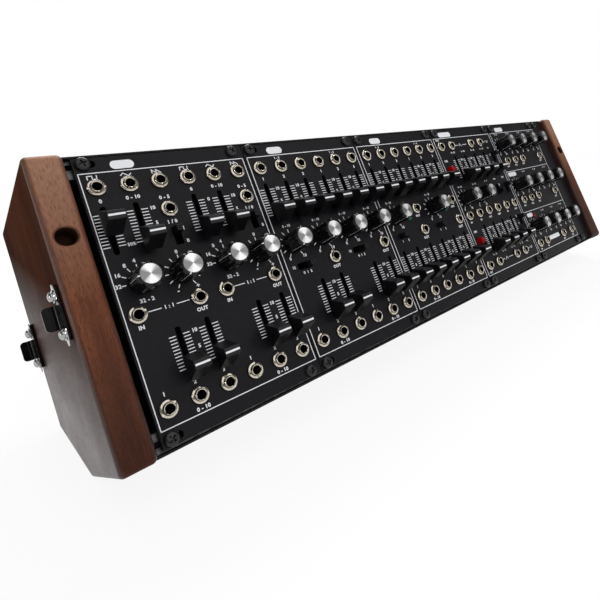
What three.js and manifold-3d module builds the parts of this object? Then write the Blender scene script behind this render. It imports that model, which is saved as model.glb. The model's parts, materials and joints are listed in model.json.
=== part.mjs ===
// A desktop modular synthesizer: five control modules and a blank panel in a
// black steel case with walnut ends, leaning back on its lower rear bevel.
// Millimetres, +Z up, the front faces -Y.
//
// Inside the leaning group, X runs along the case, Y runs up the panels and Z
// comes straight out of them. Panel fronts lie at Z = 0 and panel feet at Y = 0.

import * as THREE from 'three';
import { mergeVertices } from 'three/addons/utils/BufferGeometryUtils.js';
import Module from 'manifold-3d';

const wasm = await Module();
wasm.setup();

// Module grid
const gridPitch = 5.08;
const moduleUnits = 16;
const blankUnits = 4;
const moduleCount = 5;
const panelHeight = 128.5;
const panelThickness = 2;
const panelSideGap = 0.19;
const seat = 0.3;
const cutOverrun = 1;
const sink = 0.4;
const mergeTolerance = 0.0001;

// Case
const endThickness = 14.4;
const endFront = 5;
const topMargin = 1.3;
const footMargin = 2.5;
const endDepth = 90;
const endRounding = 2.2;
const endRoundingSteps = 2;
const endCornerRadius = 3.4;
const leftMargin = 3.2;
const rightMargin = 0.5;
const bevelSetback = 46.8;
const leanAngle = Math.PI / 6;
const sheet = 1;
const shellFootInset = 0.3;
const shellBackInset = 0.3;
const endHoleRadius = 4;
const endHoleDepth = 10;
const endHoleDrop = 34.9;

// Rails
const railHeight = 8.6;
const railDepth = 11;
const railGroove = 4.2;
const railGrooveDepth = 6;
const railMouth = 2.6;
const railLip = 1.5;

// Panel screws
const screwInsetLeft = 4.18;
const screwInsetRight = 6.44;
const screwInsetEnd = 3;
const screwRadius = 3.1;
const screwHeight = 2;
const screwSides = 6;
const crownShare = 0.8;

// Control grid on a panel
const firstColumnPlace = 6.6;
const columnPitch = 13.5;
const firstKnobPlace = 9.9;
const rangeKnobPlace = 12.3;
const tuneKnobPlace = 30.3;
const flatSwitchPlace = 12.6;
const jackRowInset = 14.5;
const fineJackDrop = 29;
const sliderRowInset = 34.5;
const upperSwitchDrop = 42.3;
const knobRowRise = 4.75;
const middleSwitchRise = 6.25;
const highJackRise = 7.05;
const greenLampRise = 1.35;
const middleJackFall = 8.75;
const greenLampPlace = 24;
const effectKnobDrop = 20.3;
const effectKnobInset = 29.6;
const effectJackDrop = 35.3;
const effectJackStep = 13.6;
const lowerJackGap = 13.2;
const bottomJackPlace = 52.6;
const redLampPlace = 16.5;
const redLampInset = 38.6;

// Jacks
const jackSides = 8;
const jackBore = 1.8;
const jackNut = 3.85;
const jackNutHeight = 1.4;
const jackBarrelHeight = 2.6;
const jackFloor = 1.5;

// Sliders
const sliderTravel = 15;
const slotLength = 22.4;
const slotWidth = 2.3;
const slotEndSteps = 1;
const stemWidth = 1.5;
const stemLength = 4;
const stemDepth = 1.6;
const capWidth = 7.2;
const capLength = 11.4;
const capFoot = 4.4;
const capTop = 15.3;
const capTopLength = 4;
const firstSliderRise = 9.6;

// Knobs
const knobSides = 10;
const knobRadius = 5.9;
const knobFoot = 1;
const knobShoulder = 13.2;
const knobTop = 14;
const knobCrownRadius = 4.8;
const knobShaftRadius = 2.4;
const knobShaftDepth = 1.5;
const knobHoleRadius = 3;
const knobFluteShare = 0.9;
const knobPointerShare = 0.86;
const knobAngleLow = (Math.PI * 4) / 3;
const knobAngleRange = Math.PI;
const knobAngleTuned = Math.PI * 0.93;

// Slide switches, buttons and lamps
const switchSlotLength = 9;
const switchSlotWidth = 3.6;
const switchLeverLength = 3.9;
const switchLeverWidth = 2.9;
const switchLeverHeight = 5.2;
const switchLeverDepth = 1.5;
const switchTravel = 4.4;
const switchTipShare = 0.72;
const buttonRadius = 2.5;
const buttonHeight = 4.8;
const buttonDepth = 1.5;
const buttonHoleRadius = 2.9;
const buttonRim = 0.6;
const buttonSides = 10;
const lampRadius = 1.5;
const lampHeight = 1.6;

// Circuit boards behind the modules
const boardThickness = 1.6;
const boardFront = 11.6;
const boardMarginSide = 3;
const boardMarginEnd = 12;
const sliderBodyWidth = 8;
const sliderBodyLength = 28;
const potBodyWidth = 9.6;
const potBodyLength = 11;
const switchBodyWidth = 6;
const switchBodyLength = 12;

// Power board, its inlet and its switch
const busLength = 330;
const busHeight = 44;
const busRise = 23.75;
const busStandoff = 6;
const busPostRadius = 3;
const busPostSides = 6;
const headerCount = 5;
const headerLength = 22;
const headerWidth = 9;
const headerHeight = 9;
const headerWall = 1.2;
const headerPitch = 62;
const inletPlace = 388;
const inletFoot = 46;
const inletRadius = 5.6;
const inletFlange = 7.4;
const inletFlangeDepth = 2;
const inletBore = 3;
const inletPin = 1;
const inletBody = 12;
const inletSides = 12;
const rockerPlace = 360;
const rockerWidth = 12;
const rockerLength = 19;
const rockerPivotDepth = 3.4;
const rockerCrown = 5.2;
const rockerDip = 1.5;
const rockerGap = 0.8;
const rockerTilt = Math.PI / 22;
const rockerSteps = 8;
const rockerWall = 1.2;

// Side catches
const catchRise = 0.95;
const catchPlateLength = 22.5;
const catchPlateWidth = 8.2;
const catchSheet = 1.2;
const catchTabLength = 10.6;
const catchTabReach = 5.4;
const catchBend = 1.6;
const catchBendSteps = 2;
const catchTabCorner = 2.4;
const catchScrewSpacing = 17.3;
const catchScrewRadius = 2.9;
const catchScrewHeight = 2;
const catchScrewSides = 8;
const catchCrownShare = 0.5;
const frontCatchEdge = 0.4;
const rearCatchInset = 10.2;

// Derived sizes
const moduleWidth = gridPitch * moduleUnits;
const blankWidth = gridPitch * blankUnits;
const rowLength = moduleWidth * moduleCount + blankWidth;
const leftInner = -leftMargin;
const rightInner = rowLength + rightMargin;
const leftOuter = leftInner - endThickness;
const rightOuter = rightInner + endThickness;
const middle = (leftOuter + rightOuter) / 2;
const endTop = panelHeight + topMargin;
const endFoot = -footMargin;
const shellFoot = endFoot + shellFootInset;
const rearCatchEdge = rearCatchInset - endDepth;
const panelMiddle = panelHeight / 2;
const catchMiddle = panelMiddle + catchRise;
const busPlace = panelMiddle + busRise;
const halfPitch = 3 * columnPitch;
const knobPitch = halfPitch / 2;
const rowTop = panelHeight - jackRowInset;
const rowFine = panelHeight - fineJackDrop;
const rowUpperSlider = panelHeight - sliderRowInset;
const rowUpperSwitch = panelHeight - upperSwitchDrop;
const rowKnob = panelMiddle + knobRowRise;
const rowMiddleSwitch = panelMiddle + middleSwitchRise;
const rowHighJack = panelMiddle + highJackRise;
const rowGreenLamp = panelMiddle + greenLampRise;
const rowMiddle = panelMiddle - middleJackFall;
const rowLowerSlider = sliderRowInset;
const rowFineLow = rowLowerSlider + rowFine - rowUpperSlider;
const rowBottom = jackRowInset;
const effectKnobTop = panelHeight - effectKnobDrop;
const effectJackTop = panelHeight - effectJackDrop;
const cosLean = Math.cos(leanAngle);
const sinLean = Math.sin(leanAngle);
const tanLean = Math.tan(leanAngle);
const lift = bevelSetback * sinLean - endFoot * cosLean;
const rearRise = endFoot + (endDepth - bevelSetback) * tanLean;
const bevelFrontY = endFoot * sinLean + bevelSetback * cosLean;
const bevelRearY = rearRise * sinLean + endDepth * cosLean;
const bevelMiddleY = (bevelFrontY + bevelRearY) / 2;
const inRightHalf = (x) => x + halfPitch;
const column = (index) => firstColumnPlace + index * columnPitch;
const knobColumn = (index) => firstKnobPlace + index * knobPitch;
const jackDeep = panelThickness - jackFloor;

// Materials
const finish = (color, roughness, metalness) =>
  new THREE.MeshStandardMaterial({ color, roughness, metalness });
const walnut = finish(0x6b4233, 0.42, 0);
const blackSteel = finish(0x141415, 0.5, 0.2);
const charcoal = finish(0x2b292c, 0.48, 0.3);
const anodised = finish(0x3a3a3c, 0.4, 0.7);
const blackPlastic = finish(0x101012, 0.35, 0);
const redPlastic = finish(0xb81a1c, 0.25, 0);
const boardGreen = finish(0x1d4a33, 0.5, 0);

// Geometry helpers

const sectionTurn = new THREE.Matrix4().makeBasis(
  new THREE.Vector3(0, 1, 0),
  new THREE.Vector3(0, 0, 1),
  new THREE.Vector3(1, 0, 0),
);

function solidOf(geometry) {
  const bare = geometry.index ? geometry.toNonIndexed() : geometry.clone();
  bare.deleteAttribute('normal');
  bare.deleteAttribute('uv');
  const merged = mergeVertices(bare, mergeTolerance);
  const vertProperties = new Float32Array(merged.attributes.position.array);
  const triVerts = new Uint32Array(merged.index.array);
  return new wasm.Manifold(new wasm.Mesh({ numProp: 3, vertProperties, triVerts }));
}

function meshOf(solid, name, material) {
  const { vertProperties, triVerts } = solid.getMesh();
  const geometry = new THREE.BufferGeometry();
  geometry.setAttribute('position', new THREE.BufferAttribute(vertProperties, 3));
  geometry.setIndex(new THREE.BufferAttribute(triVerts, 1));
  geometry.computeVertexNormals();
  const mesh = new THREE.Mesh(geometry, material);
  mesh.name = name;
  return mesh;
}

function block(x0, x1, y0, y1, z0, z1) {
  const geometry = new THREE.BoxGeometry(x1 - x0, y1 - y0, z1 - z0);
  geometry.translate((x0 + x1) / 2, (y0 + y1) / 2, (z0 + z1) / 2);
  return solidOf(geometry);
}

function centredBlock(x, y, width, length, z0, z1) {
  return block(x - width / 2, x + width / 2, y - length / 2, y + length / 2, z0, z1);
}

// A profile of [radius, height] pairs turned about Z.
function turned(profile, sides, x, y) {
  const points = profile.map(([radius, height]) => new THREE.Vector2(radius, height));
  const geometry = new THREE.LatheGeometry(points, sides);
  geometry.rotateX(Math.PI / 2);
  geometry.translate(x, y, 0);
  return solidOf(geometry);
}

function arcPoints(x, y, radius, from, to, steps) {
  const points = [];
  for (let step = 0; step <= steps; step += 1) {
    const angle = from + ((to - from) * step) / steps;
    points.push(new THREE.Vector2(x + radius * Math.cos(angle), y + radius * Math.sin(angle)));
  }
  return points;
}

function extruded(points, depth, options = {}) {
  const shape = new THREE.Shape(points);
  return new THREE.ExtrudeGeometry(shape, { depth, bevelEnabled: false, steps: 1, ...options });
}

// A profile of [height, out] pairs drawn in the Y-Z plane and drawn out along X.
function section(profile, x0, x1) {
  const points = profile.map(([height, out]) => new THREE.Vector2(height, out));
  const geometry = extruded(points, x1 - x0);
  geometry.applyMatrix4(sectionTurn);
  geometry.translate(x0, 0, 0);
  return solidOf(geometry);
}

function joined(solids) {
  return solids.reduce((whole, solid) => whole.add(solid));
}

function cut(solid, tools) {
  return tools.reduce((whole, tool) => whole.subtract(tool), solid);
}

function rectangle(x0, x1, y0, y1) {
  return [
    new THREE.Vector2(x0, y0),
    new THREE.Vector2(x1, y0),
    new THREE.Vector2(x1, y1),
    new THREE.Vector2(x0, y1),
  ];
}

function slotOutline({ x, y }) {
  const half = (slotLength - slotWidth) / 2;
  const radius = slotWidth / 2;
  return [
    ...arcPoints(x, y + half, radius, 0, Math.PI, slotEndSteps),
    ...arcPoints(x, y - half, radius, Math.PI, 2 * Math.PI, slotEndSteps),
  ];
}

function switchOutline({ x, y, upright }) {
  const halfWidth = (upright ? switchSlotWidth : switchSlotLength) / 2;
  const halfLength = (upright ? switchSlotLength : switchSlotWidth) / 2;
  return rectangle(x - halfWidth, x + halfWidth, y - halfLength, y + halfLength);
}

function ringOutline(x, y, radius, sides) {
  return arcPoints(x, y, radius, 0, 2 * Math.PI, sides).slice(0, sides);
}

// Module layouts

const place = (x, y) => ({ x, y });
const columnRow = (indices, y) => indices.map((index) => place(column(index), y));
const knobRow = (indices, y, angle) =>
  indices.map((index) => ({ x: knobColumn(index), y, angle }));
const sliderRow = (indices, y) => indices.map((index) => ({ x: column(index), y, rise: 0 }));
const uprightSwitch = (x, y, side) => ({ x, y, upright: true, side });
const flatSwitch = (x, y, side) => ({ x, y, upright: false, side });
const allColumns = [0, 1, 2, 3, 4, 5];
const allKnobs = [0, 1, 2, 3];

const oscillator = {
  name: 'oscillator',
  jacks: [
    ...columnRow(allColumns, rowTop),
    ...columnRow([2, 5], rowFine),
    ...columnRow([0, 2, 3, 5], rowMiddle),
    ...columnRow(allColumns, rowBottom),
  ],
  sliders: [
    { x: column(0), y: rowUpperSlider, rise: firstSliderRise },
    ...sliderRow([1, 3, 4], rowUpperSlider),
    ...sliderRow([1, 2, 4, 5], rowLowerSlider),
  ],
  knobs: [
    { x: rangeKnobPlace, y: rowKnob, angle: knobAngleRange },
    { x: tuneKnobPlace, y: rowKnob, angle: knobAngleLow },
    { x: inRightHalf(rangeKnobPlace), y: rowKnob, angle: knobAngleRange },
    { x: inRightHalf(tuneKnobPlace), y: rowKnob, angle: knobAngleTuned },
  ],
  switches: [uprightSwitch(column(2), rowUpperSwitch, 1), uprightSwitch(column(5), rowUpperSwitch, 1)],
  buttons: [],
  lamps: [],
  moving: { sliders: [0, 1, 2, 3, 4, 5, 6, 7], knobs: allKnobs, switches: [0, 1] },
};

const filter = {
  name: 'filter',
  jacks: [
    ...columnRow(allColumns, rowTop),
    ...columnRow([2, 5], rowMiddle),
    ...columnRow(allColumns, rowBottom),
  ],
  sliders: [...sliderRow(allColumns, rowUpperSlider), ...sliderRow([1, 2, 4, 5], rowLowerSlider)],
  knobs: knobRow(allKnobs, rowKnob, knobAngleLow),
  switches: [
    flatSwitch(flatSwitchPlace, rowMiddle, 1),
    flatSwitch(inRightHalf(flatSwitchPlace), rowMiddle, 1),
  ],
  buttons: [],
  lamps: [],
  moving: { sliders: [6, 7, 8, 9], knobs: allKnobs, switches: [0, 1] },
};

const amplifier = {
  name: 'amplifier',
  jacks: [
    ...columnRow(allColumns, rowTop),
    ...columnRow([2, 5], rowHighJack),
    ...columnRow([2, 5], rowMiddle),
    ...columnRow(allColumns, rowBottom),
  ],
  sliders: [...sliderRow(allColumns, rowUpperSlider), ...sliderRow(allColumns, rowLowerSlider)],
  knobs: knobRow([0, 2], rowKnob, knobAngleLow),
  switches: [
    flatSwitch(flatSwitchPlace, rowMiddle, -1),
    flatSwitch(inRightHalf(flatSwitchPlace), rowMiddle, -1),
  ],
  buttons: [],
  lamps: [place(greenLampPlace, rowGreenLamp), place(inRightHalf(greenLampPlace), rowGreenLamp)],
  moving: { sliders: [], knobs: [0, 1], switches: [0, 1] },
};

const envelope = {
  name: 'envelope',
  jacks: [
    ...columnRow([0, 1, 3, 4], rowTop),
    ...columnRow(allColumns, rowMiddle),
    ...columnRow([0, 1, 3, 4], rowBottom),
  ],
  sliders: [...sliderRow([1, 2, 3, 4], rowUpperSlider), ...sliderRow([1, 2, 3, 4], rowLowerSlider)],
  knobs: knobRow([0, 1], rowKnob, knobAngleLow),
  switches: [
    uprightSwitch(column(5), rowFine, 1),
    uprightSwitch(column(4), rowMiddleSwitch, -1),
    uprightSwitch(column(5), rowMiddleSwitch, 1),
    uprightSwitch(column(5), rowFineLow, 1),
  ],
  buttons: [place(column(0), rowUpperSlider), place(column(0), rowLowerSlider)],
  lamps: [],
  moving: { sliders: [], knobs: [0, 1], switches: [0, 2, 3] },
};

const effectJacks = (y) => [
  ...[0, 1, 2].map((index) => place(firstKnobPlace + index * effectJackStep, y)),
  place(knobColumn(3), y),
];

const effects = {
  name: 'effects',
  jacks: [
    ...effectJacks(effectJackTop),
    ...effectJacks(rowMiddle),
    place(firstColumnPlace, rowBottom),
    place(firstColumnPlace + lowerJackGap, rowBottom),
    place(bottomJackPlace, rowBottom),
    place(knobColumn(3), rowBottom),
  ],
  sliders: [],
  knobs: [
    ...knobRow(allKnobs, effectKnobTop, knobAngleLow),
    ...knobRow(allKnobs, rowKnob, knobAngleLow),
    ...knobRow(allKnobs, effectKnobInset, knobAngleLow),
  ],
  switches: [],
  buttons: [],
  lamps: [place(redLampPlace, redLampInset)],
  moving: { sliders: [], knobs: allKnobs, switches: [] },
};

const modules = [oscillator, filter, amplifier, envelope, effects];

// Controls

function jackSolid({ x, y }) {
  return turned(
    [
      [0, -jackDeep - sink],
      [jackNut, -jackDeep - sink],
      [jackNut, jackNutHeight],
      [jackBore, jackBarrelHeight],
      [0, jackBarrelHeight],
    ],
    jackSides,
    x,
    y,
  );
}

function jackBoreSolid({ x, y }) {
  return turned(
    [
      [0, -jackFloor],
      [jackBore, -jackFloor],
      [jackBore, jackBarrelHeight + cutOverrun],
      [0, jackBarrelHeight + cutOverrun],
    ],
    jackSides,
    x,
    y,
  );
}

function screwSolid({ x, y }) {
  return turned(
    [
      [0, -sink],
      [screwRadius, -sink],
      [screwRadius * crownShare, screwHeight],
      [0, screwHeight],
    ],
    screwSides,
    x,
    y,
  );
}

function lampSolid({ x, y }) {
  return turned(
    [
      [0, -sink],
      [lampRadius, -sink],
      [lampRadius * crownShare, lampHeight],
      [0, lampHeight],
    ],
    screwSides,
    x,
    y,
  );
}

// The cap seen from its end: two slopes up to a narrow flat top.
function sliderSolid({ x, y, rise }, moves) {
  const centre = y - sliderTravel / 2 + rise;
  const profile = [
    [centre - capLength / 2, capFoot],
    [centre + capLength / 2, capFoot],
    [centre + capTopLength / 2, capTop],
    [centre - capTopLength / 2, capTop],
  ];
  const cap = section(profile, x - capWidth / 2, x + capWidth / 2);
  const width = moves ? stemWidth : slotWidth + sink;
  const stem = centredBlock(x, centre, width, stemLength, -stemDepth, capFoot + sink);
  return cap.add(stem);
}

// A fluted body on a shaft, with its deepest flute where the pointer is.
function knobSolid({ x, y, angle }, moves) {
  const shaft = moves ? knobShaftRadius : knobHoleRadius + sink;
  const profile = [
    [0, -knobShaftDepth],
    [shaft, -knobShaftDepth],
    [shaft, knobFoot],
    [knobRadius, knobFoot],
    [knobRadius, knobShoulder],
    [knobCrownRadius, knobTop],
    [0, knobTop],
  ];
  const points = profile.map(([radius, height]) => new THREE.Vector2(radius, height));
  const geometry = new THREE.LatheGeometry(points, knobSides);
  geometry.rotateX(Math.PI / 2);
  const spots = geometry.attributes.position;
  for (let index = 0; index < spots.count; index += 1) {
    const side = Math.floor(index / profile.length) % knobSides;
    const [reach] = profile[index % profile.length];
    const flute = side === 0 ? knobPointerShare : knobFluteShare;
    const radius = reach === knobRadius && side % 2 === 0 ? reach * flute : reach;
    const turn = (2 * Math.PI * side) / knobSides;
    spots.setXY(index, radius * Math.cos(turn), radius * Math.sin(turn));
  }
  geometry.rotateZ(angle);
  geometry.translate(x, y, 0);
  return solidOf(geometry);
}

// A lever that narrows to its tip, at one end of its slot.
function switchSolid({ x, y, upright, side }, moves) {
  const width = moves ? switchLeverWidth : switchSlotWidth + sink;
  const shift = (side * switchTravel) / 2;
  const half = switchLeverLength / 2;
  const tip = half * switchTipShare;
  const outline = [
    [-half, -switchLeverDepth],
    [half, -switchLeverDepth],
    [half, switchLeverHeight / 2],
    [tip, switchLeverHeight],
    [-tip, switchLeverHeight],
    [-half, switchLeverHeight / 2],
  ];
  const points = outline.map(([along, out]) => new THREE.Vector2(along + shift, out));
  const geometry = extruded(points, width);
  geometry.applyMatrix4(sectionTurn);
  geometry.translate(-width / 2, 0, 0);
  if (!upright) {
    geometry.rotateZ(-Math.PI / 2);
  }
  geometry.translate(x, y, 0);
  return solidOf(geometry);
}

function buttonSolid({ x, y }) {
  return turned(
    [
      [0, -buttonDepth],
      [buttonRadius, -buttonDepth],
      [buttonRadius, buttonHeight - buttonRim],
      [buttonRadius - buttonRim, buttonHeight],
      [0, buttonHeight],
    ],
    buttonSides,
    x,
    y,
  );
}

// Module pieces

function screwPlaces(width, both) {
  const sides = both ? [screwInsetLeft, width - screwInsetRight] : [screwInsetLeft];
  const ends = [screwInsetEnd, panelHeight - screwInsetEnd];
  return sides.flatMap((x) => ends.map((y) => place(x, y)));
}

function plateSolid(width) {
  return block(panelSideGap, width - panelSideGap, 0, panelHeight, -panelThickness, 0);
}

function plateHole(outline) {
  const geometry = extruded(outline, panelThickness + 2 * cutOverrun);
  geometry.translate(0, 0, -panelThickness - cutOverrun);
  return solidOf(geometry);
}

function isMoving(layout, kind, index) {
  return layout.moving[kind].includes(index);
}

function faceplateSolid(layout) {
  const holes = [
    ...layout.sliders.map(slotOutline),
    ...layout.knobs.map(({ x, y }) => ringOutline(x, y, knobHoleRadius, jackSides)),
    ...layout.switches.map(switchOutline),
    ...layout.buttons.map(({ x, y }) => ringOutline(x, y, buttonHoleRadius, buttonSides)),
  ];
  const plate = cut(plateSolid(moduleWidth), holes.map(plateHole));
  const raised = [
    ...layout.jacks.map(jackSolid),
    ...screwPlaces(moduleWidth, true).map(screwSolid),
    ...layout.lamps.map(lampSolid),
  ];
  return cut(joined([plate, ...raised]), layout.jacks.map(jackBoreSolid));
}

// Bodies of the sliders, pots and switches stand on the board up to the plate.
function boardSolid(layout) {
  const front = -panelThickness - seat;
  const parts = [
    block(
      boardMarginSide,
      moduleWidth - boardMarginSide,
      boardMarginEnd,
      panelHeight - boardMarginEnd,
      -boardFront - boardThickness,
      -boardFront,
    ),
    ...layout.sliders.map(({ x, y }) =>
      centredBlock(x, y, sliderBodyWidth, sliderBodyLength, -boardFront - sink, front)),
    ...layout.knobs.map(({ x, y }) =>
      centredBlock(x, y, potBodyWidth, potBodyLength, -boardFront - sink, front)),
    ...layout.switches.map(({ x, y, upright }) => centredBlock(
      x,
      y,
      upright ? switchBodyWidth : switchBodyLength,
      upright ? switchBodyLength : switchBodyWidth,
      -boardFront - sink,
      front,
    )),
  ];
  return joined(parts);
}

const kinds = [
  { kind: 'sliders', word: 'slider', make: sliderSolid, material: blackPlastic },
  { kind: 'knobs', word: 'knob', make: knobSolid, material: blackPlastic },
  { kind: 'switches', word: 'switch', make: switchSolid, material: blackPlastic },
];

function moduleGroup(layout, index) {
  const group = new THREE.Group();
  let faceplate = faceplateSolid(layout);
  for (const { kind, word, make, material } of kinds) {
    layout[kind].forEach((control, number) => {
      const moves = isMoving(layout, kind, number);
      const solid = make(control, moves);
      if (moves) {
        group.add(meshOf(solid, `${layout.name}_${word}_${number + 1}`, material));
      } else {
        faceplate = faceplate.add(solid);
      }
    });
  }
  layout.buttons.forEach((button, number) => {
    group.add(meshOf(buttonSolid(button), `${layout.name}_button_${number + 1}`, redPlastic));
  });
  group.add(meshOf(faceplate, `${layout.name}_faceplate`, charcoal));
  group.add(meshOf(boardSolid(layout), `${layout.name}_board`, boardGreen));
  group.position.x = index * moduleWidth;
  return group;
}

function blankPanel() {
  const plate = plateSolid(blankWidth);
  const solid = joined([plate, ...screwPlaces(blankWidth, false).map(screwSolid)]);
  const mesh = meshOf(solid, 'blank_panel', charcoal);
  mesh.position.x = moduleCount * moduleWidth;
  return mesh;
}

// Case pieces

// An end panel: its side outline with rounded corners, and every edge eased.
function endOutline() {
  const corners = [
    [endTop, endFront],
    [endTop, -endDepth],
    [rearRise, -endDepth],
    [endFoot, -bevelSetback],
    [endFoot, endFront],
  ].map(([height, out]) => new THREE.Vector2(height, out));
  const radii = [endCornerRadius, endCornerRadius, 0, 0, endCornerRadius];
  const inset = endRounding;
  const points = [];
  corners.forEach((corner, index) => {
    const before = corners[(index + corners.length - 1) % corners.length];
    const after = corners[(index + 1) % corners.length];
    const towards = before.clone().sub(corner).normalize();
    const onwards = after.clone().sub(corner).normalize();
    const inward = towards.clone().add(onwards).normalize();
    const half = Math.acos(THREE.MathUtils.clamp(towards.dot(onwards), -1, 1)) / 2;
    const pulled = corner.clone().addScaledVector(inward, inset / Math.sin(half));
    const radius = radii[index] - inset;
    if (radius > 0) {
      points.push(pulled.clone().addScaledVector(towards, radius));
      points.push(pulled.clone().addScaledVector(inward, radius * (1 / Math.sin(half) - 1)));
      points.push(pulled.clone().addScaledVector(onwards, radius));
    } else {
      points.push(pulled);
    }
  });
  return points;
}

function endPanel(name, x0) {
  const geometry = extruded(endOutline(), endThickness - 2 * endRounding, {
    bevelEnabled: true,
    bevelSize: endRounding,
    bevelThickness: endRounding,
    bevelSegments: endRoundingSteps,
  });
  geometry.applyMatrix4(sectionTurn);
  geometry.translate(x0 + endRounding, 0, 0);
  const hole = turned(
    [
      [0, endFront - endHoleDepth],
      [endHoleRadius, endFront - endHoleDepth],
      [endHoleRadius, endFront + cutOverrun],
      [0, endFront + cutOverrun],
    ],
    buttonSides,
    x0 + endThickness / 2,
    panelHeight - endHoleDrop,
  );
  return meshOf(solidOf(geometry).subtract(hole), name, walnut);
}

// Where the bevel's plane, moved in by a wall, crosses a given height.
const bevelOut = (height, wall) => (wall - lift - height * cosLean) / sinLean;
const bevelHeight = (out, wall) => (wall - lift - out * sinLean) / cosLean;

function shellProfile() {
  const back = -endDepth + shellBackInset;
  const backInner = back + sheet;
  const footInner = shellFoot + sheet;
  const topInner = endTop - sheet;
  return [
    [endTop, 0],
    [endTop, back],
    [bevelHeight(back, 0), back],
    [shellFoot, bevelOut(shellFoot, 0)],
    [shellFoot, 0],
    [footInner, 0],
    [footInner, bevelOut(footInner, sheet)],
    [bevelHeight(backInner, sheet), backInner],
    [topInner, backInner],
    [topInner, 0],
  ];
}

// From outside the back sheet to inside it.
const backOpening = [-endDepth - cutOverrun, -endDepth + shellBackInset + sheet + cutOverrun];

function inletCutter() {
  const [outside, inside] = backOpening;
  const radius = inletRadius + seat;
  const profile = [[0, outside], [radius, outside], [radius, inside], [0, inside]];
  return turned(profile, inletSides, inletPlace, inletFoot);
}

// The rocker's housing: a cup behind the back sheet, open to the outside.
function rockerCup(wall, from) {
  const floor = -endDepth + rockerPivotDepth + rockerLength / 2 + rockerGap;
  const width = rockerWidth + 2 * (rockerGap + wall);
  const length = rockerLength + 2 * (rockerGap + wall);
  return centredBlock(rockerPlace, inletFoot, width, length, from, floor + wall);
}

function caseShell() {
  const back = -endDepth + shellBackInset;
  const sheets = section(shellProfile(), leftInner + seat, rightInner - seat);
  const housed = sheets.add(rockerCup(rockerWall, back + sheet / 2));
  const tools = [inletCutter(), rockerCup(0, back - cutOverrun)];
  return meshOf(cut(housed, tools), 'case_shell', blackSteel);
}

// An extruded rail with an undercut groove for the panel screws' nuts.
function rail(name, foot, top, groove) {
  const front = -panelThickness - seat;
  const half = railGroove / 2;
  const mouth = railMouth / 2;
  const profile = [
    [foot, front],
    [groove - mouth, front],
    [groove - mouth, front - railLip],
    [groove - half, front - railLip],
    [groove - half, front - railGrooveDepth],
    [groove + half, front - railGrooveDepth],
    [groove + half, front - railLip],
    [groove + mouth, front - railLip],
    [groove + mouth, front],
    [top, front],
    [top, front - railDepth],
    [foot, front - railDepth],
  ];
  return meshOf(section(profile, leftInner + seat, rightInner - seat), name, anodised);
}

function topRail() {
  const top = endTop - sheet - seat;
  return rail('top_rail', top - railHeight, top, panelHeight - screwInsetEnd);
}

function bottomRail() {
  const foot = shellFoot + sheet + seat;
  return rail('bottom_rail', foot, foot + railHeight, screwInsetEnd);
}

// The power board lies along the back sheet on four posts, with its row of headers.
function powerBoard() {
  const behind = -endDepth + shellBackInset + sheet + seat;
  const back = behind + busStandoff;
  const front = back + boardThickness;
  const x0 = middle - busLength / 2;
  const postX = busLength / 2 - busPostRadius * 2;
  const postY = busHeight / 2 - busPostRadius * 2;
  const parts = [centredBlock(middle, busPlace, busLength, busHeight, back, front)];
  for (const sideX of [-1, 1]) {
    for (const sideY of [-1, 1]) {
      parts.push(turned(
        [
          [0, behind],
          [busPostRadius, behind],
          [busPostRadius, back + sink],
          [0, back + sink],
        ],
        busPostSides,
        middle + sideX * postX,
        busPlace + sideY * postY,
      ));
    }
  }
  for (let index = 0; index < headerCount; index += 1) {
    const x = x0 + (busLength - (headerCount - 1) * headerPitch) / 2 + index * headerPitch;
    const shroud = centredBlock(x, busPlace, headerLength, headerWidth, front - sink, front + headerHeight);
    const well = centredBlock(
      x,
      busPlace,
      headerLength - 2 * headerWall,
      headerWidth - 2 * headerWall,
      front + headerWall,
      front + headerHeight + cutOverrun,
    );
    parts.push(shroud.subtract(well));
  }
  return meshOf(joined(parts), 'power_board', boardGreen);
}

// A round low-voltage inlet: a flange outside the back sheet and a barrel through it.
function powerInlet() {
  const outside = -endDepth + shellBackInset - seat;
  const barrelEnd = outside - inletFlangeDepth;
  const barrel = turned(
    [
      [0, barrelEnd],
      [inletFlange, barrelEnd],
      [inletFlange, outside],
      [inletRadius, outside],
      [inletRadius, outside + inletBody],
      [0, outside + inletBody],
    ],
    inletSides,
    inletPlace,
    inletFoot,
  );
  const bore = turned(
    [
      [inletPin, barrelEnd - cutOverrun],
      [inletBore, barrelEnd - cutOverrun],
      [inletBore, outside + inletBody / 2],
      [inletPin, outside + inletBody / 2],
      [inletPin, barrelEnd - cutOverrun],
    ],
    inletSides,
    inletPlace,
    inletFoot,
  );
  return meshOf(barrel.subtract(bore), 'power_inlet', blackPlastic);
}

// A rocker that dips in the middle, with a round belly about its pivot.
function powerRocker() {
  const half = rockerLength / 2;
  const belly = arcPoints(0, 0, half, 0, Math.PI, rockerSteps);
  const points = [
    ...belly,
    new THREE.Vector2(-half, -rockerCrown),
    new THREE.Vector2(0, -rockerCrown + rockerDip),
    new THREE.Vector2(half, -rockerCrown),
  ];
  const geometry = extruded(points, rockerWidth);
  geometry.applyMatrix4(sectionTurn);
  geometry.translate(-rockerWidth / 2, 0, 0);
  geometry.rotateX(rockerTilt);
  const mesh = meshOf(solidOf(geometry), 'power_rocker', blackPlastic);
  mesh.position.set(rockerPlace, inletFoot, -endDepth + rockerPivotDepth);
  return mesh;
}

// A side catch: a plate screwed to the end panel, bent out into a rounded tab.
// Its section runs outwards from the panel in -X and forwards in Z.
const outwards = new THREE.Matrix4().makeBasis(
  new THREE.Vector3(-1, 0, 0),
  new THREE.Vector3(0, 0, 1),
  new THREE.Vector3(0, 1, 0),
);
const flatOutwards = new THREE.Matrix4().makeBasis(
  new THREE.Vector3(-1, 0, 0),
  new THREE.Vector3(0, 1, 0),
  new THREE.Vector3(0, 0, -1),
);

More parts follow.
